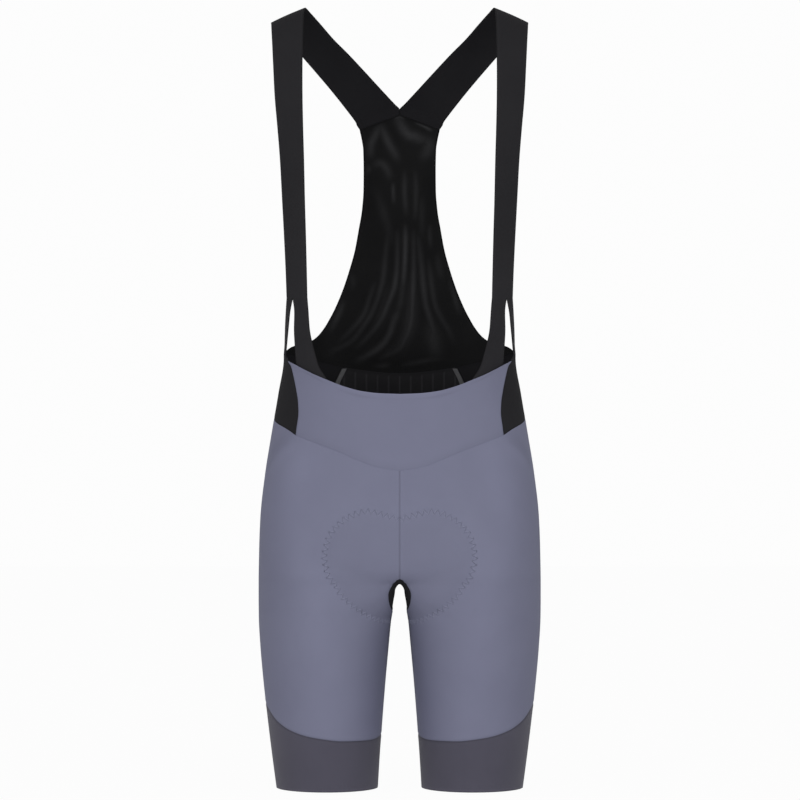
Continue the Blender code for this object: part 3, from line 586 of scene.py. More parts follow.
for name, (grid, marks), flat, area in (("leg_front", leg_front, (0.31, 0.40), 0.098),
                                        ("leg_back", leg_back, (0.21, 0.41), 0.066)):
    for side, shape, shade in (("left", grid, marks), ("right", mirrored(grid), marks[:, ::-1])):
        panel = cloth(name + "_cloth_" + side, [shape], jersey, marks=shade)
        fitted(panel, name + "_" + side)

# ------------ pad stitching
# Zigzag stitches that hold the seat pad to the leg panels, all round its edge: a thread sunk
# in the cloth, coloured darker than the jersey as painted shade, and beside each stitch the
# small ridge of cloth it pulls up, coloured lighter as a painted highlight.

ZIGZAG_PITCH, ZIGZAG_HALF = 7.6, 3.3
THREAD_RADIUS, RIDGE_RADIUS = 0.22, 0.34
# How unevenly wide the zigzag is, and the two rates, per millimetre, at which that changes.
UNEVEN, UNEVEN_FAST, UNEVEN_SLOW = 0.12, 0.83, 0.37


def thread(name, dark, light):
    """Thread, or the ridge beside it with its painted highlight, uneven in tone from stitch to
    stitch.
    """
    finish, tree, shader = shader_tree(name)
    uneven = add(tree, "TexNoise", Scale=160.0, Detail=3.0, Roughness=0.7)
    shade = add(tree, "MapRange", [("Value", uneven.outputs["Fac"])], From_Min=0.35, From_Max=0.65)
    colour = yarn_ramp(tree, shade.outputs["Result"], dark, light)
    tree.links.new(colour, shader.inputs["Base Color"])
    set_values(shader, Roughness=0.65, Specular_IOR_Level=0.2)
    return finish


# The sunk thread is coloured darker than the jersey as painted shade, and the ridges lighter as a
# painted highlight.
sunk_thread = thread("sunk zigzag thread", (0.122, 0.127, 0.183), (0.165, 0.172, 0.246))
ridge_highlight = thread("stitch ridge with painted highlight", (0.2, 0.208, 0.29), (0.285, 0.296, 0.4))


def tube(name, line, radius, finish, sides=6):
    """Round thread along a line of points."""
    along = np.gradient(line, axis=0)
    along /= np.linalg.norm(along, axis=1, keepdims=True)
    aside = np.cross(along, (0.3, 0.2, 0.93))
    aside /= np.linalg.norm(aside, axis=1, keepdims=True)
    above = np.cross(along, aside)
    angle = np.arange(sides) / sides * 2 * np.pi
    across, up = np.cos(angle)[None, :, None], np.sin(angle)[None, :, None]
    ring = aside[:, None] * across + above[:, None] * up
    points = (line[:, None] + ring * radius).reshape(-1, 3) * MM
    number = np.arange(len(line) * sides).reshape(-1, sides)
    after = np.roll(number, -1, 1)
    faces = np.stack([number[:-1], after[:-1], after[1:], number[1:]], -1).reshape(-1, 4).tolist()
    faces += [number[0, ::-1].tolist(), number[-1].tolist()]
    mesh = bpy.data.meshes.new(name)
    mesh.from_pydata(points.tolist(), [], faces)
    mesh.shade_smooth()
    mesh.materials.append(finish)
    return placed(name, mesh)


def zigzag_line(front, shift, lift):
    """Line of the stitches, shifted along the pad's edge and lifted off the cloth's middle."""
    turns = pad_outline[:, 0] if front else 1 - pad_outline[:, 0]
    path = skin(turns, pad_outline[:, 1])
    length = length_along(path[None], 1)[0]
    count = int(length[-1] / (ZIGZAG_PITCH / 8))
    at = np.linspace(1.0, length[-1] - 1.0, count)
    turn = np.interp(at, length, turns)
    height = np.interp(at, length, pad_outline[:, 1])
    middle = skin(turn, height)
    up = skin(turn, height + 0.5) - skin(turn, height - 0.5)
    across = skin(turn + 0.001, height) - skin(turn - 0.001, height)
    out = np.cross(across, up)
    out /= np.linalg.norm(out, axis=1, keepdims=True)
    along = np.gradient(middle, axis=0)
    aside = np.cross(out, along)
    aside /= np.linalg.norm(aside, axis=1, keepdims=True)
    wave = 2 * np.abs(2 * (((at + shift) / ZIGZAG_PITCH) % 1) - 1) - 1
    off = wave * ZIGZAG_HALF * (1 + UNEVEN * np.sin(at * UNEVEN_FAST) * np.sin(at * UNEVEN_SLOW))
    return middle + aside * off[:, None] + out * (lift - groove(off))[:, None]


for side, flip in (("left", 1), ("right", -1)):
    for face in ("front", "back"):
        for kind, shift, lift, radius, finish in (
            ("stitches", 0.0, WALL / 2 + 0.12, THREAD_RADIUS, sunk_thread),
            ("ridges", 0.9, WALL / 2 - 0.06, RIDGE_RADIUS, ridge_highlight),
        ):
            line = zigzag_line(face == "front", shift, lift) * (flip, 1, 1)
            stitches = tube("pad_%s_%s_%s" % (kind, face, side), line, radius, finish)
            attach(stitches, "root")

# ------------ belly panel
# High front panel of the same jersey, bonded over at the waist and cut clean. A highlight is
# painted along its edge as a thin lighter line, above a faint band of glue.

WAIST_CORNER = (0.412, -423.5)
waist_edge = seam_line((0.0, -463.4), (0.05, -462.6), (0.1, -460.0), (0.15, -454.5),
                       (0.2, -447.5), (0.25, -440.8), (0.3, -434.3), (0.35, -428.6), WAIST_CORNER)
# Turn of the seam with the side panel at each height.
belly_side = seam_line(WAIST_CORNER[::-1], (-430.0, 0.38), (-442.0, 0.352), (-457.0, 0.325),
                       (-474.0, 0.305), (-491.0, 0.296), BELLY_CORNER[::-1])
# The edge turned in at the waist stands proud, the panel sinks to its lower seam, and the
# highlight painted along the waist's edge is stronger in its middle.
TURNED_RISE, TURNED_WIDTH, TURNED_FADE = 0.22, 6.2, 1.4
FOOT_SINK, FOOT_FADE = 0.35, 11.0
CENTRE_HALF, CENTRE_FADE = 30.0, 60.0


def seam_across(seam, turns, shares=(0, 1)):
    """Seam with a height for each turn, as places that pass the turns at shares of its length."""
    def place(share):
        turn = np.interp(share, shares, turns)
        return turn, seam(turn)
    return place


def seam_down(seam, first, last):
    """Seam with a turn for each height, as places from a first height to a last."""
    def place(share):
        height = first + share * (last - first)
        return seam(height), height
    return place


def patch(top, bottom, left, right, columns, rows):
    """Places (turn, height) of a panel between four seams, each a function of a share 0..1."""
    u, v = columns[None, :], rows[:, None]
    ends = np.array([0.0]), np.array([1.0])
    corners = [np.array(seam(end)).reshape(2) for seam in (top, bottom) for end in ends]
    made = []
    for k in (0, 1):
        top_first, top_last, low_first, low_last = (corner[k] for corner in corners)
        ruled = (1 - v) * top(u)[k] + v * bottom(u)[k] + (1 - u) * left(v)[k] + u * right(v)[k]
        flat = (1 - v) * ((1 - u) * top_first + u * top_last)
        made.append(ruled - (flat + v * ((1 - u) * low_first + u * low_last)))
    return made


belly_seam = seam_down(belly_side, WAIST_CORNER[1], BELLY_CORNER[1])
half = skin(*patch(seam_across(waist_edge, (0, WAIST_CORNER[0])),
                   seam_across(belly_bottom, (0, BELLY_CORNER[0])),
                   seam_down(lambda height: 0 * height, waist_edge(0.0), belly_bottom(0.0)),
                   belly_seam, spread_to(165.0, 2.5), spread(90.0, 2.0)))
whole = np.concatenate([mirrored(half)[:, :-1], half], 1)
reach = from_edges(whole)
rise = TURNED_RISE * (1 - ease((reach["top"] - TURNED_WIDTH) / TURNED_FADE))
rise -= FOOT_SINK * (1 - ease(reach["bottom"] / FOOT_FADE))
whole = sewn(lifted(whole, rise), bottom=0.0, left=0.3, right=0.3)
# Painted highlight along the cut edge, stronger in the middle; two faint dark lines at the glue
# band; painted shade above the lower seam and along the side seams.
central = 1 - ease((np.abs(whole[..., 0]) - CENTRE_HALF) / CENTRE_FADE)
marks = band_of(reach["top"], 0.0, 1.0) * (0.1 * central + 0.14)
marks += stripes(reach["top"], (-0.09, 7.3, 0.6), (-0.09, 9.8, 0.6))
marks += stripes(reach["bottom"], (-0.045, 2.0, 5.0))
marks += stripes(np.minimum(reach["left"], reach["right"]), (-0.15, 0.0, 1.3))
belly = cloth("belly_cloth", [whole], jersey, marks=marks)
fitted(belly, "belly_panel")

# ------------ leg bands
# Wide elastic band on each leg in a darker, ribbed knit, a closed ring from its curved seam
# to the level, raw-cut hem.

band_knit = knit("leg band knit", (0.068, 0.065, 0.09), (0.081, 0.077, 0.106), 0.7, 0.0009,
                 0.6, 0.15, sheen=0.15)
HEM = -934.5
BAND_COLUMNS = 200

turn = np.linspace(0, 1, BAND_COLUMNS, endpoint=False)[None, :]
share = spread(70.0, 2.4)[:, None]
band = skin(turn + 0 * share, band_top(turn) + (HEM - band_top(turn)) * share)
band = sewn(band, closed=True, top=SEAM_SINK)
reach = from_edges(band)
# Painted highlight just above the hem with painted shade on its very edge, and painted shade in the
# seam at the top.
marks = stripes(reach["bottom"], (0.12, 2.6, 0.9), (-0.2, 0.0, 1.0))
marks += stripes(reach["top"], (-0.35, 0.0, 1.5))
for side, turned in SIDES:
    ring = cloth("leg_band_cloth_" + side, [turned(band)], band_knit, closed=True, marks=marks)
    fitted(ring, "leg_band_" + side)

# ------------ gusset
# Almond-shaped piece in black knit over the saddle and down both inner thighs. It takes the
# seams away from where the rider sits.

black_lining = knit("black knit lining", (0.0085, 0.0082, 0.0098), (0.0115, 0.0112, 0.013), 0.75,
                    0.0011, 0.6, 0.1)
black_knit = knit("black knit", (0.0152, 0.0147, 0.0168), (0.0197, 0.0191, 0.0217), 0.75, 0.0008,
                  0.5, 0.1)


def saddle_panel(middles, edge_turns, edge_heights, shares, lobes=None, form=CLOTH_FORM):
    """Grid across the saddle: rows from a height on the middle plane out to an edge.

    lobes is how far the rows arch up on their way to the edge.
    """
    start = leg_oval(middles)[4][:, None]
    edge_start = leg_oval(edge_heights)[4]
    end = np.sqrt(edge_start ** 2 + (np.pi ** 2 - edge_start ** 2) * (2 * edge_turns) ** 2)[:, None]
    share = (shares ** 2)[None, :]
    height = middles[:, None] + (edge_heights - middles)[:, None] * share
    squared = start ** 2 + (end ** 2 - start ** 2) * share
    here = leg_oval(height)[4]
    turn = 0.5 * np.sqrt(np.maximum((squared - here ** 2) / (np.pi ** 2 - here ** 2), 0))
    if lobes is not None:
        height = height + lobes[:, None] * np.sin(np.pi * shares)[None, :]
        plain = edge_turns[:, None] * shares[None, :]
        turn = np.where(lobes[:, None] > 0, plain, turn)
    half = skin(turn, height, form)
    half[:, 0, 0] = 0.0
    back = skin(1 - turn, height, form)
    back[:, 0, 0] = 0.0
    both = np.concatenate([half, back[::-1][1:]])
    return np.concatenate([mirrored(both)[:, :-1], both], 1)


gusset_middle = smooth_line(range(8), [GUSSET_TOP, -683.2, -684.6, -685.6, -686.3, -686.7, -686.92,
                                       SADDLE])(GUSSET_ROWS)
gusset = saddle_panel(gusset_middle, gusset_edge(gusset_heights), gusset_heights,
                      np.linspace(0, 1, 15))
gusset = sewn(gusset, left=SEAM_SINK, right=SEAM_SINK)
fitted(cloth("gusset_cloth", [gusset], black_knit), "gusset")

# ------------ side panels
# Black knit panel over each hip, from the belly panel round to the small of the back, with a
# bound top edge that carries the strap's rear tail.

MESH_CORNER = (0.53, -414.0)
LUMBAR_TOP, LUMBAR_LOW = (0.839, -430.5), (0.812, -478.0)
side_top = seam_line(WAIST_CORNER, (0.44, -417.2), MESH_CORNER, (0.65, -417.5), (0.76, -424.5),
                     LUMBAR_TOP, (0.92, -435.2), (0.97, -437.1), (1.0, -437.4))
# Turn of the seam with the lumbar panel at each height.
lumbar_side = seam_line(LUMBAR_TOP[::-1], (-450.0, 0.822), LUMBAR_LOW[::-1])
# Shares of the columns that lie before the mesh's corner and before the legs' side seam.
BEFORE_MESH, BEFORE_SIDE_SEAM = 4 / 13, 8 / 13

lumbar_seam = seam_down(lumbar_side, LUMBAR_TOP[1], LUMBAR_LOW[1])
hip = skin(*patch(
    seam_across(side_top, (WAIST_CORNER[0], MESH_CORNER[0], LUMBAR_TOP[0]), (0, BEFORE_MESH, 1)),
    seam_across(side_bottom, (BELLY_CORNER[0], SIDE_SEAM_TURN, LUMBAR_LOW[0]),
                (0, BEFORE_SIDE_SEAM, 1)),
    belly_seam, lumbar_seam, spread(210.0, 2.6), spread(70.0, 2.2)))
hip = sewn(hip, top=0.2, bottom=0.3, left=0.3, right=0.3)
reach = from_edges(hip)
seam = np.minimum(np.minimum(reach["left"], reach["right"]), reach["bottom"])
# Painted shade along the seams at the sides and foot.
hip_marks = stripes(seam, (-0.35, 0.0, 1.2))
for side, grid, marks in (("left", hip, hip_marks), ("right", mirrored(hip), hip_marks[:, ::-1])):
    panel = cloth("side_cloth_" + side, [grid], black_knit, inner=black_lining, marks=marks)
    fitted(panel, "side_panel_" + side)

# ------------ lumbar panel
# Black mesh across the small of the back with upright knitted ribs, and the grey tape inside
# it that covers each of its two side seams.

rib_knit = knit("ribbed lumbar knit", (0.0155, 0.0151, 0.0168), (0.02, 0.0195, 0.0214), 0.8,
                0.0011, 0.6, 0.08)
RIB_PITCH, RIB_HALF, RIB_DEPTH, RIB_LIGHT = 13.6, 0.8, 0.4, 0.9
RIB_STOP, RIB_FADE = 2.5, 3.0


def back_middle(height):
    """Turn of the middle of the back."""
    return 1 + 0 * height


half = skin(*patch(seam_across(side_top, (LUMBAR_TOP[0], 1)),
                   seam_across(side_bottom, (LUMBAR_LOW[0], 1)),
                   lumbar_seam, seam_down(back_middle, side_top(1.0), side_bottom(1.0)),
                   1 - spread_to(84.0, 1.0)[::-1], spread(44.0, 2.0)))
whole = np.concatenate([half, mirrored(half)[:, 1:]], 1)
beside = np.abs((whole[..., 0] / RIB_PITCH + 0.5) % 1 - 0.5) * RIB_PITCH
rib = np.exp(-(beside / RIB_HALF) ** 2)
for distance in from_edges(whole).values():
    rib *= ease((distance - RIB_STOP) / RIB_FADE)
whole = sewn(lifted(whole, -RIB_DEPTH * rib), top=SEAM_SINK, bottom=SEAM_SINK, left=SEAM_SINK,
             right=SEAM_SINK)
lumbar = cloth("lumbar_cloth", [whole], rib_knit, marks=RIB_LIGHT * rib)

tape_finish = knit("grey tape", (0.066, 0.066, 0.07), (0.12, 0.12, 0.125), 0.6, 0.0007, 0.6, 0.2)
TAPE_HALF, TAPE_THICKNESS, TAPE_DEPTH = 3.0, 0.8, 2.0
# How far the tape stops short of the seam's ends, and how far its foot leans off it, in turns.
TAPE_STOP, TAPE_LEAN = 1.5, 0.006


def inside(turn, height, depth):
    """Points that lie a depth inside the skin."""
    along = skin(np.minimum(turn + 0.004, 1), height) - skin(np.maximum(turn - 0.004, 0), height)
    fall = skin(turn, height - 1.0) - skin(turn, height + 1.0)
    inward = np.cross(along, fall)
    inward /= np.linalg.norm(inward, axis=-1, keepdims=True)
    return skin(turn, height) + inward * depth


def seam_tape():
    """Grid of the left tape, down the seam between the lumbar and side panels."""
    share = np.linspace(0, 1, 30)[:, None]
    first, last = LUMBAR_TOP[1] - TAPE_STOP, LUMBAR_LOW[1] + TAPE_STOP
    height = first + (last - first) * share
    turn = lumbar_side(height) - TAPE_LEAN * share
    girth = np.linalg.norm(skin(turn + 0.01, height) - skin(turn - 0.01, height), axis=-1) / 0.02
    off = np.linspace(-TAPE_HALF, TAPE_HALF, 7)[None, :]
    return inside(turn + off / girth, height + 0 * off, TAPE_DEPTH)


tape = seam_tape()
tapes = []
for side, turned in SIDES:
    tapes.append(cloth("tape_cloth_" + side, [turned(tape)], tape_finish, thickness=TAPE_THICKNESS))
    stand_in(tapes[-1], "seam_tape_" + side)
fitted(lumbar, "lumbar_panel")

# ------------ mesh back
# Back of black mesh, narrow between the shoulder blades and flared to the hips. It hangs in
# long soft folds that start in the middle and swing out to one side.

# The mesh's edge as (height, x), down to where it flares into its corner on the side panel.
MESH_TOP, MESH_FLARE = (-139.6, 49.0), (-405.6, 129.0)
mesh_edge = seam_line(MESH_TOP, (-152, 46.3), (-164, 44.6), (-190, 44.1), (-213, 44.3),
                      (-238, 46.2), (-262, 50.2), (-287, 54.7), (-311, 61.2), (-336, 69.3),
                      (-360, 79.2), (-372, 85.3), (-384.6, 92.8), (-397.5, 105.0), MESH_FLARE)
MESH_TOP_MIDDLE = -120.9
MESH_ROW_SHIFT = 0.03
# Drape folds of the mesh as they lie: how proud and half as wide each is, how strong the
# highlight painted along it is, and the places (x, z) it runs through.
MESH_FOLDS = [
    (1.0, 3.2, 1.3, (-30, -326), (-37, -347), (-45, -368), (-60, -386), (-74, -400)),
    (1.8, 3.4, 1.4, (-13, -258), (-17, -290), (-20, -320), (-26, -344), (-34, -364), (-44, -380),
     (-58, -398), (-81, -411), (-88, -416)),
    (2.0, 3.2, 1.9, (-3, -262), (-3, -301), (-6, -330), (-14, -352), (-22, -371), (-34, -388),
     (-53, -407)),
    (2.2, 3.0, 2.7, (7, -256), (7, -281), (6, -306), (4, -334)),
    (1.4, 4.0, 0.9, (6, -310), (4, -330), (1, -352), (-6, -374)),
    (2.2, 3.8, 2.0, (0, -358), (-7, -374), (-12, -389), (-19, -401), (-32, -412), (-54, -424)),
    (2.0, 3.2, 1.9, (17, -262), (17, -311), (15, -365), (12, -383), (5, -400), (-2, -409),
     (-25, -420)),
    (1.9, 3.6, 1.7, (22, -268), (26, -299), (31, -348), (38, -374), (42, -392), (38, -418)),
    (1.4, 3.4, 1.2, (35, -298), (42, -348), (49, -367), (61, -388), (66, -400)),
    (0.9, 3.0, 1.0, (61, -326), (67, -345), (73, -366)),
    (1.2, 3.4, 1.3, (-68, -350), (-76, -370), (-84, -386)),
    (0.9, 2.6, 1.0, (-30, -429), (-22, -429), (-13, -428)),
    (1.0, 2.6, 1.0, (3, -428), (25, -424), (54, -418)),
    (0.8, 7.0, 0.7, (-15, -334), (-18, -350), (-22, -368), (-32, -390)),
    (0.8, 7.0, 1.1, (15, -328), (15, -352), (12, -380), (3, -402), (-14, -412)),
    (0.7, 8.0, 1.1, (38, -378), (42, -398), (45, -416)),
    (0.5, 4.0, 0.7, (46, -292), (48, -306), (51, -320)),
    (0.5, 3.6, 0.6, (-58, -318), (-57, -326), (-58, -334)),
    (1.5, 4.6, 1.9, (-36, -172), (-35, -157), (-29, -144), (-23, -133)),
    (1.6, 4.8, 2.0, (-24, -133), (-17, -148), (-11, -160), (-2, -175)),
    (1.5, 6.0, 2.3, (-3, -122), (3, -136), (11, -145), (18, -147), (25, -150), (33, -151)),
    (1.0, 6.5, 1.4, (31, -149), (36, -156), (34, -165), (29, -172)),
    (0.4, 2.2, 3.0, (-6, -125), (0, -122.5), (5, -125)),
    (0.4, 2.2, 3.2, (20, -130), (30, -134), (39, -140)),
    (1.3, 4.8, 1.3, (-31, -182), (-25, -180), (-20, -182), (-15, -189), (-12, -198)),
    (0.6, 3.0, 0.9, (-38, -184), (-38, -190)),
    (1.0, 3.2, 1.3, (6, -190), (6, -215), (8, -243)),
    (0.9, 3.2, 1.0, (19, -190), (20, -215), (19, -250)),
    (0.6, 2.4, 1.5, (-8, -204), (-8, -215), (-7, -228)),
    (0.9, 5.4, 0.7, (-28, -214), (-23, -231), (-19, -243), (-14, -260), (-12, -278)),
    (0.8, 4.0, 0.7, (27, -222), (27, -246), (27, -270)),
    (0.7, 2.6, 0.9, (37, -256), (37, -270), (38, -284)),
]
# The strength of the highlight painted on the folds, and how far from the mesh's edges the folds
# and the highlight fade in.
FOLD_HIGHLIGHT, FOLD_FADE, LIGHT_FADE = 1.2, 8.0, 3.0


def turn_of_x(x, height):
    """Turn on the back of the trunk at a distance from the middle."""
    return 1 - np.arcsin(np.clip(x / half_width(height), 0, 1)) / np.pi


def yoke_height(x):
    """Height of the slanted seam between mesh and strap."""
    return MESH_TOP_MIDDLE + (MESH_TOP[0] - MESH_TOP_MIDDLE) * x / MESH_TOP[1]


def mesh_side(share):
    """Places down the mesh's free edge, with the rows a little closer at its foot."""
    share = share + MESH_ROW_SHIFT * np.sin(np.pi * share)
    height = MESH_TOP[0] + share * (MESH_CORNER[1] - MESH_TOP[0])
    flare, last = MESH_FLARE[0], turn_of_x(MESH_FLARE[1], MESH_FLARE[0])
    low = last + (MESH_CORNER[0] - last) * (flare - height) / (flare - MESH_CORNER[1])
    return np.where(height < flare, low, turn_of_x(mesh_edge(height), height)), height


def yoke_seam(turn):
    """Height of the same seam at a turn."""
    return yoke_height(skin(turn, MESH_TOP[0])[..., 0])


half = skin(*patch(seam_across(yoke_seam, (turn_of_x(MESH_TOP[1], MESH_TOP[0]), 1)),
                   seam_across(side_top, (MESH_CORNER[0], 1)), mesh_side,
                   seam_down(back_middle, MESH_TOP_MIDDLE, side_top(1.0)),
                   1 - spread_to(90.0, 1.3)[::-1], spread(300.0, 2.2)))
whole = np.concatenate([half, mirrored(half)[:, 1:]], 1)
flat_places = whole[..., [0, 2]]
rise = np.zeros(whole.shape[:2])
lighter = np.zeros(whole.shape[:2])
for proud, half_wide, light, *places in MESH_FOLDS:
    fold = soft_line(flat_places, through_points(np.array(places, float), 10), half_wide)
    rise = np.maximum(rise, fold * proud)
    lighter = np.maximum(lighter, fold * light * FOLD_HIGHLIGHT)
reach = from_edges(whole)
bound = np.minimum(reach["left"], reach["right"])
inset = np.minimum(bound, np.minimum(reach["top"], reach["bottom"]))
# A highlight is painted along each fold, fading near the edges. Beside the bound edges there is a
# lighter stripe, and the edges themselves are darker.
marks = lighter * ease(inset / LIGHT_FADE) + stripes(bound, (0.15, 4.0, 1.0), (-0.35, 0.0, 1.8))
whole = sewn(lifted(whole, -rise * ease(inset / FOLD_FADE)), top=SEAM_SINK, bottom=SEAM_SINK)
black_mesh = knit("black mesh", (0.0055, 0.0055, 0.006), (0.0098, 0.0098, 0.0103), 0.8, 0.0016,
                  0.8, 0.08)
back = cloth("mesh_cloth", [whole], black_mesh, marks=marks)
fitted(back, "mesh_back")

# ------------ straps
# Wide straps in firm black knit, sewn to the mesh along the yoke and led over the shoulders.
# Above the waist each forks into a front tail, inside the belly panel, and a rear one.

# Both edges of the left strap, from the yoke to the fork: inner x, y, z and outer x, y, z.
STRAP = np.array([
    (0.05, 96.0, -120.5, 49.0, 93.8, -139.3), (0.05, 95.2, -113.9, 52.3, 92.5, -134.5),
    (7.0, 93.0, -107.0, 54.8, 91.0, -129.0), (22.0, 85.5, -91.5, 66.0, 85.5, -114.5),
    (42.0, 75.0, -70.5, 81.5, 76.5, -95.5), (62.0, 63.0, -50.0, 98.5, 64.5, -76.0),
    (80.0, 50.0, -33.0, 117.0, 51.0, -55.5), (95.0, 33.0, -17.0, 134.0, 35.0, -37.0),
    (106.5, 15.0, -5.5, 146.5, 17.0, -24.0), (113.0, -5.0, -0.6, 153.2, -5.0, -18.6),
    (114.4, -25.0, -9.0, 153.0, -25.0, -25.0), (114.8, -45.0, -34.0, 151.6, -43.0, -44.0),
    (115.0, -61.0, -72.0, 149.8, -57.0, -74.0), (114.7, -71.5, -112.0, 147.6, -65.0, -112.0),
    (113.9, -76.0, -150.0, 144.2, -66.0, -150.0), (112.9, -77.0, -187.0, 141.3, -63.0, -187.0),
    (112.0, -75.5, -234.0, 138.9, -57.0, -234.0), (110.9, -73.0, -276.0, 136.8, -51.5, -276.0),
    (110.0, -70.5, -317.0, 135.0, -46.0, -317.0), (109.4, -68.0, -349.0, 134.0, -42.0, -349.0),
])
FRONT_TAIL = np.array([
    (108.2, -67.0, -364.0, 124.8, -48.5, -364.0), (106.6, -65.5, -387.0, 125.2, -44.0, -387.0),
    (103.6, -62.9, -403.0, 124.6, -39.6, -403.0),
])
REAR_TAIL = np.array([
    (130.4, -42.0, -365.0, 135.4, -26.0, -365.0), (132.4, -32.0, -381.0, 136.6, -13.0, -381.0),
    (134.2, -24.0, -397.0, 137.4, -2.5, -397.0),
])
# The front tail's foot inside the belly panel: height, inner x and outer x.
HIDDEN_TAIL = [(-418, 101.4, 126.0), (-431, 97.0, 125.0), (-444, 88.5, 122.5), (-458, 80.0, 119.0)]
TAIL_DEPTH = 3.0
# The rear tail's foot on the side panel, from turn to turn.
REAR_FOOT = (0.443, 0.526)
# The fork: the front tail's share of the strap's width, and over how many rows it is reached.
FORK_SHARE, FORK_ROWS = 0.66, 4
STRAP_COLUMNS = 20
STRAP_CROWN, FRONT_CROWN, REAR_CROWN = 1.5, 0.6, 0.3
# The strap looks lighter low down, where it faces the light.
LOW_LIGHT, LOW_FROM, LOW_BLEND = 0.25, -230.0, 130.0


def ribbon(rows, shares, crown):
    """Points across each row, from its inner to its outer edge, crowned in the middle."""
    inner, outer = rows[:, None, :3], rows[:, None, 3:]
    out = (inner + outer) * (1, 1, 0)
    out /= np.linalg.norm(out, axis=-1, keepdims=True)
    share = shares[..., None]
    return inner + (outer - inner) * share + out * crown * 4 * share * (1 - share)


def strap():
    """Grids of the left strap down to the fork, of its front tail and of its rear tail."""
    half = STRAP_COLUMNS // 2
    j = np.arange(STRAP_COLUMNS + 1)
    row = np.arange(len(STRAP))
    rear_share = FORK_SHARE + (1 - FORK_SHARE) * (j - half) / half
    forked = np.where(j <= half, FORK_SHARE * j / half, rear_share)
    toward = ease((row - (len(STRAP) - 1 - FORK_ROWS)) / FORK_ROWS)[:, None]
    shares = j / STRAP_COLUMNS + (forked - j / STRAP_COLUMNS) * toward
    crown = STRAP_CROWN * ease(row / 3)[:, None, None]
    main = through_points(ribbon(STRAP, shares, crown), 9)
    yoke = main[0]
    yoke[:, 2] = yoke_height(yoke[:, 0]) - SEAM_LAP
    yoke[:, 1] = skin(turn_of_x(yoke[:, 0], yoke[:, 2]), yoke[:, 2])[:, 1]
    part = np.linspace(0, 1, half + 1)
    front = [main[-1][: half + 1], *ribbon(FRONT_TAIL, np.tile(part, (3, 1)), FRONT_CROWN)]
    for level, in_x, out_x in HIDDEN_TAIL:
        first, last = (1 - turn_of_x(x, level) for x in (in_x, out_x))
        front.append(inside(first + (last - first) * part, np.full(part.shape, level), TAIL_DEPTH))
    rear = [main[-1][half:], *ribbon(REAR_TAIL, np.tile(part, (3, 1)), REAR_CROWN)]
    foot = REAR_FOOT[0] + (REAR_FOOT[1] - REAR_FOOT[0]) * part
    rear.append(skin(foot, side_top(foot) - SEAM_LAP))
    return [main, through_points(np.array(front), 8), through_points(np.array(rear), 8)]


strap_knit = knit("black strap knit", (0.0148, 0.0142, 0.0164), (0.019, 0.0184, 0.0206), 0.72,
                  0.0011, 0.6, 0.12)
strap_grids = strap()
marks = []
for grid in strap_grids:
    reach = from_edges(grid)
    low = LOW_LIGHT * ease((LOW_FROM - grid[..., 2]) / LOW_BLEND)
    edge = stripes(np.minimum(reach["left"], reach["right"]), (0.15, 1.9, 0.7), (-0.2, 0.0, 1.0))
    marks.append((low + edge).ravel())
for side, turned in SIDES:
    webbing = cloth("strap_cloth_" + side, [turned(grid) for grid in strap_grids], strap_knit,
                    inner=black_lining, marks=np.concatenate(marks))
    fitted(webbing, "strap_" + side)

# ------------ seat pad
# Foam pad under a black cloth, sewn to the inside from the lower belly through the legs to
# the seat, thin at its edge and thickest where the rider sits.

pad_cloth = knit("pad cloth", (0.026, 0.026, 0.029), (0.036, 0.036, 0.04), 0.8, 0.0012, 0.6, 0.1)
PAD_THICKNESS = 4.5
# The pad lies closest to the panels at its edge, and its upper edge arches up beside the middle.
EDGE_DEPTH, DEEPER, BEVEL = 2.4, 2.2, 8.0
LOBE_RISE = 11.5
PAD_ROWS = np.linspace(0, 12, 73)
pad_middle = smooth_line(range(13), [-609.6, -622, -634, -646, -657, -666, -672.5, -678, -681.5,
                                     -684.3, -686.0, -686.8, -687])(PAD_ROWS)
pad_heights = smooth_line(range(13), [-622, -632, -641, -654, -667, -680, -691, -702, -715,
                                      -725, -731, -734, PAD_LOW])(PAD_ROWS)
pad_turns = smooth_line(range(13), [0.168, 0.187, 0.2015, 0.2175, 0.226, 0.2305, 0.228, 0.2135,
                                    0.179, 0.14, 0.0955, 0.045, 0.0])(PAD_ROWS)
pad_lobes = LOBE_RISE * np.maximum(1 - PAD_ROWS / 3, 0)
pad_grid = saddle_panel(pad_middle, pad_turns, pad_heights, np.linspace(0, 1, 31), pad_lobes,
                        PAD_FORM)
border = np.minimum.reduce(list(from_edges(pad_grid).values()))
pad_grid = lifted(pad_grid, -(EDGE_DEPTH + DEEPER * ease(border / BEVEL)))
pad = cloth("pad_foam", [pad_grid], pad_cloth, thickness=PAD_THICKNESS)
stand_in(pad, "seat_pad")

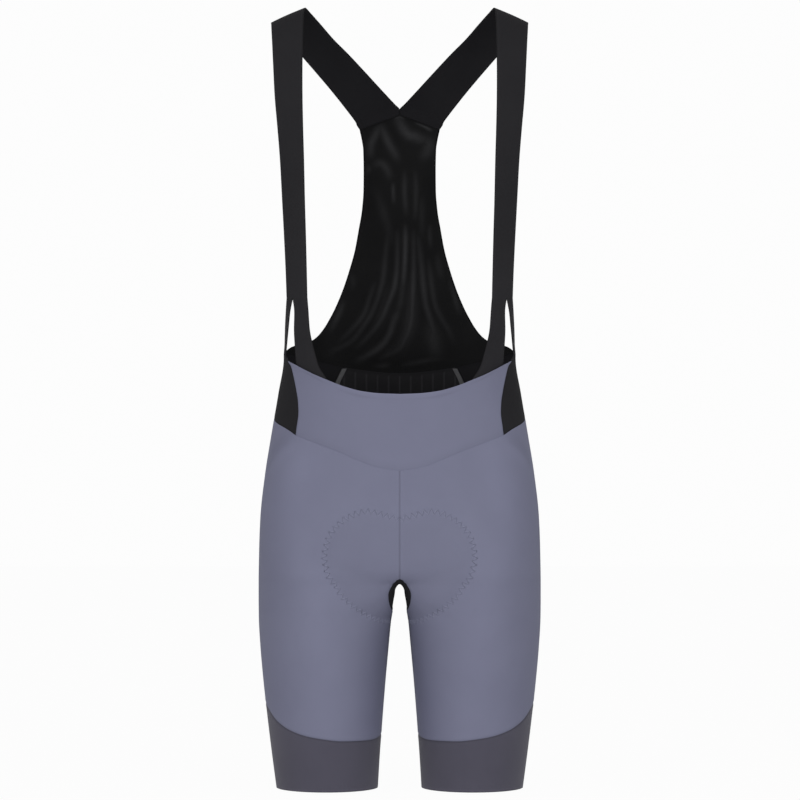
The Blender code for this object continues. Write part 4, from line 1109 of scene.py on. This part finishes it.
# ------------ floor, light, camera
# A pale studio: an even white room, a large soft light in front on either side, and a level
# camera.

FLOOR = -0.9356
floor_mesh = bpy.data.meshes.new("studio_floor")
floor_mesh.from_pydata([(-4, -6, FLOOR), (4, -6, FLOOR), (4, 6, FLOOR), (-4, 6, FLOOR)], [],
                       [(0, 1, 2, 3)])
floor = placed("studio_floor", floor_mesh)
floor_finish, _, floor_shader = shader_tree("pale floor")
set_values(floor_shader, Base_Color=(0.02, 0.02, 0.02, 1), Roughness=1.0, Specular_IOR_Level=0.0,
           Emission_Color=(1, 1, 1, 1), Emission_Strength=0.965)
floor_mesh.materials.append(floor_finish)
floor.visible_diffuse = False
floor.visible_glossy = False

world = bpy.data.worlds.new("white room")
bpy.context.scene.world = world
world.use_nodes = True
room = world.node_tree
glow = room.nodes["Background"]
set_values(glow, Color=(1, 1, 1, 1), Strength=0.47)
seen = add(room, "Background", Color=(0.98, 0.98, 0.98, 1), Strength=1.0)
path = add(room, "LightPath")
pick = add(room, "MixShader", [(0, path.outputs["Is Camera Ray"]), (1, glow.outputs[0]),
                               (2, seen.outputs[0])])
room.links.new(pick.outputs[0], room.nodes["World Output"].inputs["Surface"])

# The right lamp is a touch stronger.
LAMP_POWER, LAMP_BIAS = 73.0, 2.0
for name, aside in (("left softbox", 1), ("right softbox", -1)):
    softbox = bpy.data.lights.new(name, "AREA")
    softbox.shape = "RECTANGLE"
    softbox.size = 2.4
    softbox.size_y = 2.4
    softbox.energy = LAMP_POWER - LAMP_BIAS * aside
    lamp = placed(name, softbox)
    lamp.location = (2.5 * aside, -3.6, 0.1)
    aim = Vector((0, 0, -0.55)) - lamp.location
    lamp.rotation_euler = aim.to_track_quat("-Z", "Y").to_euler()
    lamp.visible_camera = False

lens = bpy.data.cameras.new("camera")
lens.lens = 168.75
lens.sensor_width = 36.0
lens.clip_end = 50
camera = placed("camera", lens)
camera.location = (0.0004, -4.5, -0.4704)
camera.rotation_euler = (np.pi / 2, 0, 0)
bpy.context.scene.camera = camera
bpy.context.scene.view_settings.view_transform = "Standard"
